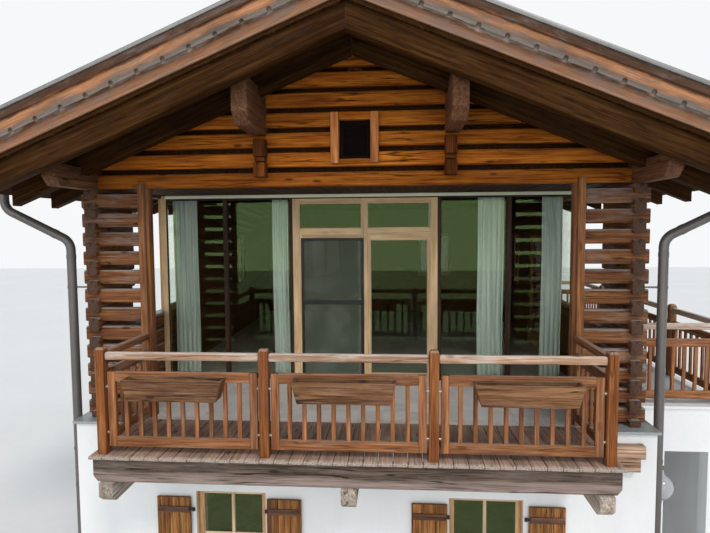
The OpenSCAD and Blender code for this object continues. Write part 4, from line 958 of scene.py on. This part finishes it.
# Windows and doors: frames from members, glazing beads, muntins
glazing = {"bead": 0.012, "thinBead": 0.005, "muntin": 0.028, "muntinDepth": 0.012, "drops": (0.475, 0.86),
           "beadIn": 0.008, "leafStep": 0.006, "leafSide": 0.04, "leafFoot": 0.07, "leafHead": 0.075,
           "lining": 0.014, "reveal": 0.070, "near": 0.03}
paneBoxes = cadBoxes("window_panes")


def lightsIn(low, high):
    near = glazing["near"]
    return [box for box in paneBoxes
            if all(low[i] - near < (box[0][i] + box[1][i]) / 2 < high[i] + near for i in range(3))]


def framed(ends, middle, low, high, lights):
    # fills a frame's box with posts and rails around its lights
    a = 0 if high.x - low.x > high.y - low.y else 1
    columns = {}
    for box in lights:
        columns.setdefault(round((box[0][a] + box[1][a]) / 2, 1), []).append(box)
    columns = [(min(b[0][a] for b in column), max(b[1][a] for b in column),
                sorted(column, key=lambda b: b[0].z)) for _, column in sorted(columns.items())]

    def member(bm, start, end, bottom, top, shy=0.0):
        if end - start < 0.001 or top - bottom < 0.001:
            return
        first, last = low.copy(), high.copy()
        first[a], last[a], first.z, last.z = start, end, bottom, top
        first[1 - a] += shy
        last[1 - a] -= shy
        bar(bm, first, last)
    edges = [low[a]] + [v for column in columns for v in column[:2]] + [high[a]]
    for i in range(0, len(edges), 2):
        member(ends if i in (0, len(edges) - 2) else middle, edges[i], edges[i + 1], low.z, high.z)
    for start, end, column in columns:
        levels = [low.z] + [v for box in column for v in (box[0].z, box[1].z)] + [high.z]
        for i in range(0, len(levels), 2):
            member(middle, start, end, levels[i], levels[i + 1], 0.001)
        for box in column:
            member(middle, start, box[0][a], box[0].z, box[1].z, 0.0005)
            member(middle, box[1][a], end, box[0].z, box[1].z, 0.0005)


def beadsAndMuntins(beads, muntins, low, high, lights, drops=(), bead=glazing["bead"]):
    for first, last in lights:
        a = 0 if last.x - first.x > last.y - first.y else 1
        d = 1 - a
        way = 1 if low[d] + high[d] < 0 else -1
        outer, face = (low[d], first[d]) if way > 0 else (high[d], last[d])

        def strip(bm, start, end, bottom, top, depths):
            one, two = first.copy(), last.copy()
            one[a], two[a], one.z, two.z, one[d], two[d] = start, end, bottom, top, *sorted(depths)
            bar(bm, one, two)
        left, right = first[a] + bead, last[a] - bead
        for sides in ((first[a], left, first.z, last.z), (right, last[a], first.z, last.z),
                      (left, right, first.z, first.z + bead), (left, right, last.z - bead, last.z)):
            strip(beads, *sides, (outer + way * glazing["beadIn"], face))
        for drop in drops:
            z, half = last.z - drop, glazing["muntin"] / 2
            strip(muntins, left, right, z - half, z + half, (face, face - way * glazing["muntinDepth"]))


def glazed(ends, middle, low, high, *settings):
    lights = lightsIn(low, high)
    framed(ends, middle, low, high, lights)
    beadsAndMuntins(middle, middle, low, high, lights, *settings)
    return lights


def linedReveal(bm, low, high):
    # boards round the opening in front of the casements; returns the corners of what stands behind them
    d = 1 if high.x - low.x > high.y - low.y else 0
    board, deep = glazing["lining"], glazing["reveal"]
    outside, inside = (low.copy(), high.copy()), (low.copy(), high.copy())
    if low[d] + high[d] < 0:
        outside[1][d] = inside[0][d] = low[d] + deep
    else:
        outside[0][d] = inside[1][d] = high[d] - deep
    for axis, other in ((1 - d, 2), (2, 1 - d)):
        for end in (0, 1):
            one, two = outside[0].copy(), outside[1].copy()
            if end:
                one[axis] = high[axis] - board
            else:
                two[axis] = low[axis] + board
            if axis == 2:
                one[other], two[other] = low[other] + board, high[other] - board
            bar(bm, one, two)
    return inside


def frontBars(bm, front, back, spans):
    # bars in one plane that looks to the front: from x to x and from z to z
    for (x0, x1), (z0, z1) in spans:
        bar(bm, (x0, front, z0), (x1, back, z1))


frames, cream, linings = startShapes(3)
for low, high in cadBoxes("ground_windows"):
    lights = lightsIn(low, high)
    low, high = linedReveal(linings, low, high)
    framed(frames, cream, low, high, lights)
    beadsAndMuntins(cream, cream, low, high, lights, glazing["drops"], glazing["thinBead"])
for name, bm, look in (("frames", frames, "windowWood"), ("bars", cream, "creamWood"),
                       ("linings", linings, "revealWood")):
    addPiece("ground-windows-" + name, bm, look + " " + look, "ground_windows", (0.002, 1))
frames = startShape()
for low, high in cadBoxes("upper_windows"):
    glazed(frames, frames, low, high)
addPiece("upper-windows-frames", frames, "windowWood windowWood", "upper_windows", (0.003, 1))

# Glass wall and terrace door
doorLow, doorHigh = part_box("terrace_door")
wallLow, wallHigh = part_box("glass_wall")
tan, darkFrame, leafBars = startShapes(3)
wallLights = [box for box in lightsIn(wallLow, wallHigh) if abs(box[0].x + box[1].x) / 2 > doorHigh.x]
framed(tan, darkFrame, wallLow, wallHigh, wallLights + [(doorLow, doorHigh)])
beadsAndMuntins(darkFrame, darkFrame, wallLow, wallHigh, wallLights)
leafFront = doorLow.y - glazing["leafStep"]
for first, last in glazed(leafBars, leafBars, doorLow, doorHigh):
    if first.z < 3:        # the lights below the transom are the two leaves
        left, right = first.x - glazing["leafSide"], last.x + glazing["leafSide"]
        bottom, top = first.z - glazing["leafFoot"], last.z + glazing["leafHead"]
        frontBars(leafBars, leafFront, doorLow.y + 0.001, (
            ((left, first.x), (bottom, top)), ((last.x, right), (bottom, top)),
            ((first.x, last.x), (bottom, first.z)), ((first.x, last.x), (last.z, top))))
addPiece("glass-wall-posts", tan, "frameWood frameWood", "glass_wall", (0.003, 1))
addPiece("glass-wall-frame", darkFrame, "mullionWood mullionWood", "glass_wall", (0.003, 1))
addPiece("terrace-door-frame", leafBars, "frameWood frameWood", "terrace_door", (0.003, 1))

# Insect screen in front of the left leaf, and the pale rail over the glass wall
screen = {"left": -0.905, "right": -0.012, "bottom": 2.80, "top": 4.785, "bar": 0.040, "crossLow": 3.84,
          "crossHigh": 3.895, "depth": 0.016, "net": 0.001}
headRail = {"reach": 2.87, "depth": 0.045, "gap": 0.002, "drop": 0.045}
net, screenFrame, rail = startShapes(3)
back = leafFront - 0.002
front = back - screen["depth"]
wide, high = (screen["left"], screen["right"]), (screen["bottom"], screen["top"])
inside = (wide[0] + screen["bar"], wide[1] - screen["bar"])
frontBars(screenFrame, front, back, (
    ((wide[0], inside[0]), high), ((inside[1], wide[1]), high), (inside, (high[0], high[0] + screen["bar"])),
    (inside, (high[1] - screen["bar"], high[1])), (inside, (screen["crossLow"], screen["crossHigh"]))))
addPiece("insect-screen-frame", screenFrame, "iron", "", (0.002, 1))
netY = (front + back) / 2
frontBars(net, netY, netY + screen["net"], [(inside, (high[0] + screen["bar"], high[1] - screen["bar"]))])
addPiece("insect-screen-net", net, "flyMesh flyMesh", "")
bar(rail, (-headRail["reach"], glassY - headRail["depth"], ceilingZ - headRail["drop"]),
    (headRail["reach"], glassY - headRail["gap"], ceilingZ - 0.001))
addPiece("glass-wall-head-rail", rail, "headRail headRail", "", (0.006,))

# Gable windows
gableWindow = {"post": 0.088, "sill": 0.048, "head": 0.078, "shy": 0.022, "leafFront": 0.025,
               "leafBack": 0.020, "rods": (0.36, 0.68), "rod": 0.006, "rodOut": 0.02}
posts, boards, darkFrame = startShapes(3)
for low, high in cadBoxes("gable_windows"):
    front = low.y < 0
    light = lightsIn(low, high)[0]
    left, right = low.x + gableWindow["post"], high.x - gableWindow["post"]
    bottom, top = low.z + gableWindow["sill"], high.z - gableWindow["head"]
    nearIn = (low.y + gableWindow["shy"], high.y) if front else (low.y, high.y - gableWindow["shy"])
    frontBars(posts, low.y, high.y, (((low.x, left), (low.z, high.z)), ((right, high.x), (low.z, high.z))))
    frontBars(boards, *nearIn, (((left, right), (low.z, bottom)), ((left, right), (top, high.z))))
    middle = (light[0].y + light[1].y) / 2
    framed(darkFrame, darkFrame, Vector((left, middle - gableWindow["leafFront"], bottom)),
           Vector((right, middle + gableWindow["leafBack"], top)), [light])
    y = light[0].y - gableWindow["rodOut"] if front else light[1].y + gableWindow["rodOut"]
    for share in gableWindow["rods"]:
        z = light[0].z + (light[1].z - light[0].z) * share
        rod(darkFrame, (light[0].x, y, z), (light[1].x, y, z), gableWindow["rod"], 8)
addPiece("gable-window-posts", posts, "casingWood brownEnd", "gable_windows", (0.004,))
addPiece("gable-window-boards", boards, "gableWood gableWood", "gable_windows", (0.004,))
addPiece("gable-window-casements", darkFrame, "casementWood casementWood", "gable_windows")

# Doors of the sides
sideDoor = {"jamb": 0.07, "inner": 0.02, "threshold": 0.03, "boards": 6, "play": 0.004, "joint": 0.001,
            "handleIn": 0.07, "handleHeight": 1.0}
entrance, entranceIron, galleryDoor = startShapes(3)
for low, high in cadBoxes("side_doors"):
    if low.z > 1:
        glazed(galleryDoor, galleryDoor, low, high)
        continue
    jamb, inner, play = sideDoor["jamb"], sideDoor["inner"], sideDoor["play"]
    for y0, y1, z0, z1 in ((low.y, low.y + jamb, low.z, high.z), (high.y - jamb, high.y, low.z, high.z),
                           (low.y + jamb, high.y - jamb, high.z - jamb, high.z),
                           (low.y + jamb, high.y - jamb, low.z, low.z + sideDoor["threshold"])):
        bar(entrance, (low.x, y0, z0), (high.x, y1, z1))
    wide = (high.y - low.y - 2 * jamb - 2 * play) / sideDoor["boards"]
    for i in range(sideDoor["boards"]):
        y = low.y + jamb + play + i * wide
        bar(entrance, (low.x + inner, y + sideDoor["joint"], low.z + sideDoor["threshold"] + 0.005),
            (high.x - inner, y + wide - sideDoor["joint"], high.z - jamb - play))
    hand = Vector((high.x - inner, high.y - jamb - sideDoor["handleIn"], low.z + sideDoor["handleHeight"]))
    bar(entranceIron, hand - Vector((0, 0.02, 0.11)), hand + Vector((0.003, 0.02, 0.09)))
    for start, end, radius in (((0, 0, 0), (0.018, 0, 0), 0.009),
                               ((0.016, 0.008, 0), (0.016, -0.11, 0), 0.008)):
        rod(entranceIron, hand + Vector(start), hand + Vector(end), radius, 12)
addPiece("entrance-door", entrance, "liningWood brownEnd", "side_doors", (0.003, 1))
addPiece("entrance-door-handle", entranceIron, "iron", "")
addPiece("gallery-door", galleryDoor, "windowWood windowWood", "side_doors", (0.003, 1))
print("windows and doors made")

# Curtains on a track
curtain = {"pleat": 0.072, "swing": 0.023, "trackDepth": 0.022, "trackHeight": 0.018, "step": 0.004,
           "rows": 24, "edge": 0.012, "gather": 0.012, "fullness": 1.8}
curtainBoxes = sorted(cadBoxes("curtains"), key=lambda box: box[0].x)
trackY = sum((curtainBoxes[0][0].y, curtainBoxes[0][1].y)) / 2
trackLow = curtainBoxes[0][1].z - curtain["trackHeight"]
track = startShape()
bar(track, (curtainBoxes[0][0].x, trackY - curtain["trackDepth"] / 2, trackLow),
    (curtainBoxes[-1][1].x, trackY + curtain["trackDepth"] / 2, trackLow + curtain["trackHeight"]))
trackPiece = addPiece("curtain-track", track, "headRail headRail", "", (0.003,))
for index, (low, high) in enumerate(curtainBoxes):
    span, height, length = high.x - low.x, high.z - low.z, trackLow - low.z
    cloth = bmesh.new()
    steps = round(span / curtain["step"])
    ops.create_grid(cloth, x_segments=steps, y_segments=curtain["rows"], size=0.5, calc_uvs=True)
    uvs = cloth.loops.layers.uv.verify()
    for face in cloth.faces:
        for loop in face.loops:
            across, rise = loop.vert.co.x + 0.5, loop.vert.co.y + 0.5
            loop[uvs].uv = (across * curtain["fullness"] * span, rise * height)
    for vert in cloth.verts:
        across, rise = vert.co.x + 0.5, vert.co.y + 0.5
        gather = curtain["gather"] * math.sin(rise * 5 + index) * (1 - rise)
        x = low.x + curtain["edge"] + across * (span - 2 * curtain["edge"]) + gather
        phase = math.tau * across * span / curtain["pleat"] + 0.5 * math.sin(rise * 3 + index * 2)
        swing = curtain["swing"] * (0.55 + 0.4 * noise.noise(Vector((across * span * 9, index, rise * 1.2))))
        swing *= 1 - 0.45 * max(0.0, rise - 0.93) / 0.07        # the pleats are held flatter at the track
        vert.co = Vector((x, trackY + swing * math.sin(phase), low.z + rise * length))
    area = sum(face.calc_area() for face in cloth.faces)
    mesh = bpy.data.meshes.new("curtain-%d" % (index + 1))
    cloth.to_mesh(mesh)
    cloth.free()
    mesh.materials.append(finishes["cloth"])
    mesh.shade_smooth()
    hanging = addObject("curtain-%d" % (index + 1), mesh)
    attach(hanging, "house")
    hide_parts("curtains")
print("curtains made")

# Lamp: globe, cap, arm and wall rose
lampLow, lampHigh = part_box("wall_lamp")
globe = {"radius": 0.155, "steps": 24, "open": 0.88, "neckRadius": 0.049, "neckIn": 0.002, "neckSteps": 6,
         "capHeight": 0.045, "capEdge": 0.010, "capTop": 0.030, "armLow": 0.230, "arm": 0.012, "rose": 0.045}
centre = Vector(((lampLow.x + lampHigh.x) / 2, lampLow.y + globe["radius"], lampLow.z + globe["radius"]))
capLow, capEdge = lampHigh.z - globe["capHeight"], lampHigh.z - globe["capEdge"]
glass, metal = startShapes(2)
outline = []
for i in range(globe["steps"] + 1):
    turn = math.pi * i / globe["steps"] * globe["open"]
    outline.append((globe["radius"] * math.sin(turn), -globe["radius"] * math.cos(turn)))
wide, high = outline[-1]
narrow = globe["neckRadius"] - globe["neckIn"]
for i in range(1, globe["neckSteps"] + 1):
    share = i / globe["neckSteps"]
    outline.append((wide + (narrow - wide) * math.sin(share * math.pi / 2),
                    high + (capLow + 0.004 - centre.z - high) * share))
ring = [glass.verts.new(centre + Vector((r, 0, h))) for r, h in outline]
edges = [glass.edges.new(pair) for pair in zip(ring, ring[1:])]
turned(glass, ring + edges, centre, 48)
ops.remove_doubles(glass, verts=glass.verts, dist=0.0001)
ops.recalc_face_normals(glass, faces=glass.faces[:])
addPiece("wall-lamp-globe", glass, "lampGlass", "wall_lamp")
armZ = centre.z + globe["armLow"] + globe["arm"]
neck = globe["neckRadius"]
for start, end, *settings in (
        ((centre.y, capLow), (centre.y, capEdge), neck, 32),
        ((centre.y, capEdge), (centre.y, lampHigh.z), neck, 32, globe["capTop"]),
        ((centre.y, armZ), (lampHigh.y - 0.012, armZ), globe["arm"], 16),
        ((lampHigh.y - 0.014, armZ), (lampHigh.y - 0.0005, armZ), globe["rose"], 32)):
    rod(metal, (centre.x, *start), (centre.x, *end), *settings)
addPiece("wall-lamp-metal", metal, "pipePaint", "wall_lamp", (0.002, 2, 50))

# Downpipes swept round smooth bends, gutter beads and stays
pipe = {"radius": 0.05, "bend": 0.16, "sides": 28, "steps": 8, "foot": 0.0005, "miter": 0.031,
        "collar": 0.003, "collarHeight": 0.05, "collars": (0.02, 1.9), "underBend": 0.20, "overBend": 0.18}
gutter = {"bead": 0.006, "beadIn": 0.007, "stays": 16, "stayIn": 0.2, "stayReach": 0.13, "stayHalf": 0.012}
gutterLow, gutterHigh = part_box("gutters")
gutterTop = gutterHigh.z
staySpan = gutterHigh.y - gutterLow.y - 2 * gutter["stayIn"]
pipeBoxes = cadBoxes("downpipes")


def sweptPipe(bm, points):
    # pipe along straight runs in one plane, joined by round bends
    points = [Vector(p) for p in points]
    start = (points[1] - points[0]).normalized()
    foot = Matrix.LocRotScale(points[0], start.to_track_quat("Z", "Y"), None)
    ring = ops.create_circle(bm, segments=pipe["sides"], radius=pipe["radius"], matrix=foot)["verts"]
    edges = edgesOf(ring)
    ops.contextual_create(bm, geom=edges)
    here = points[0].copy()
    for i in range(1, len(points)):
        way = (points[i] - points[i - 1]).normalized()
        last = i == len(points) - 1
        angle = 0 if last else way.angle(points[i + 1] - points[i])
        back = pipe["bend"] * math.tan(angle / 2)
        target = points[i] if last else points[i] - way * back
        made = ops.extrude_edge_only(bm, edges=edges)["geom"]
        ops.translate(bm, vec=target - here, verts=only(bmesh.types.BMVert, made))
        edges = only(bmesh.types.BMEdge, made)
        here = target.copy()
        if not last:
            onward = (points[i + 1] - points[i]).normalized()
            axis = way.cross(onward).normalized()
            made = ops.spin(bm, geom=edges, cent=here + axis.cross(way) * pipe["bend"], axis=axis, angle=angle,
                            steps=pipe["steps"])
            edges = only(bmesh.types.BMEdge, made["geom_last"])
            here = points[i] + onward * back
    ops.contextual_create(bm, geom=edges)


shape, collars, gutterParts = startShapes(3)
for side in (-1, 1):
    boxes = sorted((b for b in pipeBoxes if (b[0].x + b[1].x) * side > 0), key=lambda b: b[0].z)
    lowBox, topBox = boxes[0], boxes[-1]
    x, y = ((lowBox[0][i] + lowBox[1][i]) / 2 for i in (0, 1))
    gutterX = (topBox[0].x + topBox[1].x) / 2
    bend = Vector((x, y, lowBox[1].z - pipe["miter"]))
    outlet = Vector((gutterX, y, topBox[0].z + pipe["miter"]))
    pipeTop = min(topBox[1].z, gutterLow.z + 0.004)
    sweptPipe(shape, [(x, y, pipe["foot"]), bend, outlet, (gutterX, y, pipeTop)])
    up, slope = Vector((0, 0, 1)), (outlet - bend).normalized()
    for foot, way in ((bend - up * pipe["underBend"], up), (Vector((x, y, pipe["collars"][1])), up),
                      (bend + slope * pipe["overBend"], slope), (Vector((x, y, pipe["collars"][0])), up)):
        rod(collars, foot, foot + way * pipe["collarHeight"], pipe["radius"] + pipe["collar"], pipe["sides"])
    outerX = gutterHigh.x if side > 0 else gutterLow.x
    edgeX, innerX = outerX - side * gutter["beadIn"], outerX - side * gutter["stayReach"]
    beadZ = gutterTop - gutter["bead"]
    rod(gutterParts, (edgeX, gutterLow.y, beadZ), (edgeX, gutterHigh.y, beadZ), gutter["bead"], 12)
    for i in range(gutter["stays"]):
        y = gutterLow.y + gutter["stayIn"] + i * staySpan / (gutter["stays"] - 1)
        bar(gutterParts, (min(innerX, edgeX), y - gutter["stayHalf"], gutterTop - 0.004),
            (max(innerX, edgeX), y + gutter["stayHalf"], gutterTop - 0.0005))
ops.recalc_face_normals(shape, faces=shape.faces[:])
addPiece("downpipes-bent", shape, "pipePaint", "downpipes")
addPiece("downpipe-collars", collars, "pipePaint", "", (0.0015, 1, 50))
addPiece("gutter-stays", gutterParts, "pipePaint", "")
print("pipes made")

# Camera at the photograph's place
view = {"focal": 556.27, "imageWidth": 710, "sensor": 36, "place": (0.4616, -10.3697, 4.9091),
        "yaw": 0.0761, "pitch": 0.0672, "roll": 0.0074}
cameraData = bpy.data.cameras.new("photoCamera")
cameraData.sensor_width = view["sensor"]
cameraData.lens = view["sensor"] * view["focal"] / view["imageWidth"]
camera = addObject("photoCamera", cameraData)
level = Vector((math.cos(view["yaw"]), math.sin(view["yaw"]), 0))
ahead = Vector((-level.y, level.x, 0))
forward = ahead * math.cos(view["pitch"]) - Vector((0, 0, math.sin(view["pitch"])))
down = forward.cross(level)
rightWay = math.cos(view["roll"]) * level + math.sin(view["roll"]) * down
downWay = math.cos(view["roll"]) * down - math.sin(view["roll"]) * level
turn = Matrix((rightWay, -downWay, -forward)).transposed().to_4x4()
camera.matrix_world = Matrix.Translation(view["place"]) @ turn
scene.camera = camera

# Studio
studio = {"sky": (0.90, 0.95, 1.0), "skyStrength": 0.72, "backdrop": (0.93, 0.94, 0.95), "floorReach": 60,
          "floorLow": 0.002, "floor": ((740, 750, 750), (780, 790, 790), 0.9, 0, 4, 0.0),
          # energy, colour, angle and where it comes from
          "lamps": {"sun": (1.1, (1.0, 0.955, 0.89), 12, (0.5, -0.9, 1.0)),
                    "fill": (1.35, (1.0, 0.98, 0.95), 70, (-0.15, -1.0, 0.12))}}
world = bpy.data.worlds.new("studio")
world.use_nodes = True
current["tree"] = world.node_tree
lit = world.node_tree.nodes["Background"]
feed(lit, "Color", (*studio["sky"], 1))
feed(lit, "Strength", studio["skyStrength"])
pale = addNode("Background", {"Color": (*studio["backdrop"], 1), "Strength": 1.0})
rays = addNode("LightPath").outputs
seen = calc("MAXIMUM", calc("MAXIMUM", rays["Is Camera Ray"], rays["Is Glossy Ray"]),
            rays["Is Transmission Ray"])
mixed = addNode("MixShader", {0: seen, 1: lit.outputs[0], 2: pale.outputs[0]})
feed(world.node_tree.nodes["World Output"], "Surface", mixed.outputs[0])
scene.world = world
for name, (energy, colour, angle, comesFrom) in studio["lamps"].items():
    lampData = bpy.data.lights.new(name, "SUN")
    lampData.energy, lampData.color, lampData.angle = energy, colour, math.radians(angle)
    lampObject = addObject(name, lampData)
    lampObject.rotation_mode = "QUATERNION"
    lampObject.rotation_quaternion = Vector(comesFrom).to_track_quat("Z", "Y")
floor = bmesh.new()
ops.create_grid(floor, x_segments=2, y_segments=2, size=studio["floorReach"],
                matrix=Matrix.Translation((0, 0, -studio["floorLow"])))
floorMesh = bpy.data.meshes.new("studioFloor")
floor.to_mesh(floorMesh)
floor.free()
floorMesh.materials.append(speckFinish("studioFloor", *studio["floor"]))
addObject("studioFloor", floorMesh)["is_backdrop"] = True
scene.view_settings.view_transform = "Standard"

low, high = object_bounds()
for name, size in (("visual", high - low), ("CAD", cadHigh - cadLow)):
    print(name, "size:", [round(length, 3) for length in size])
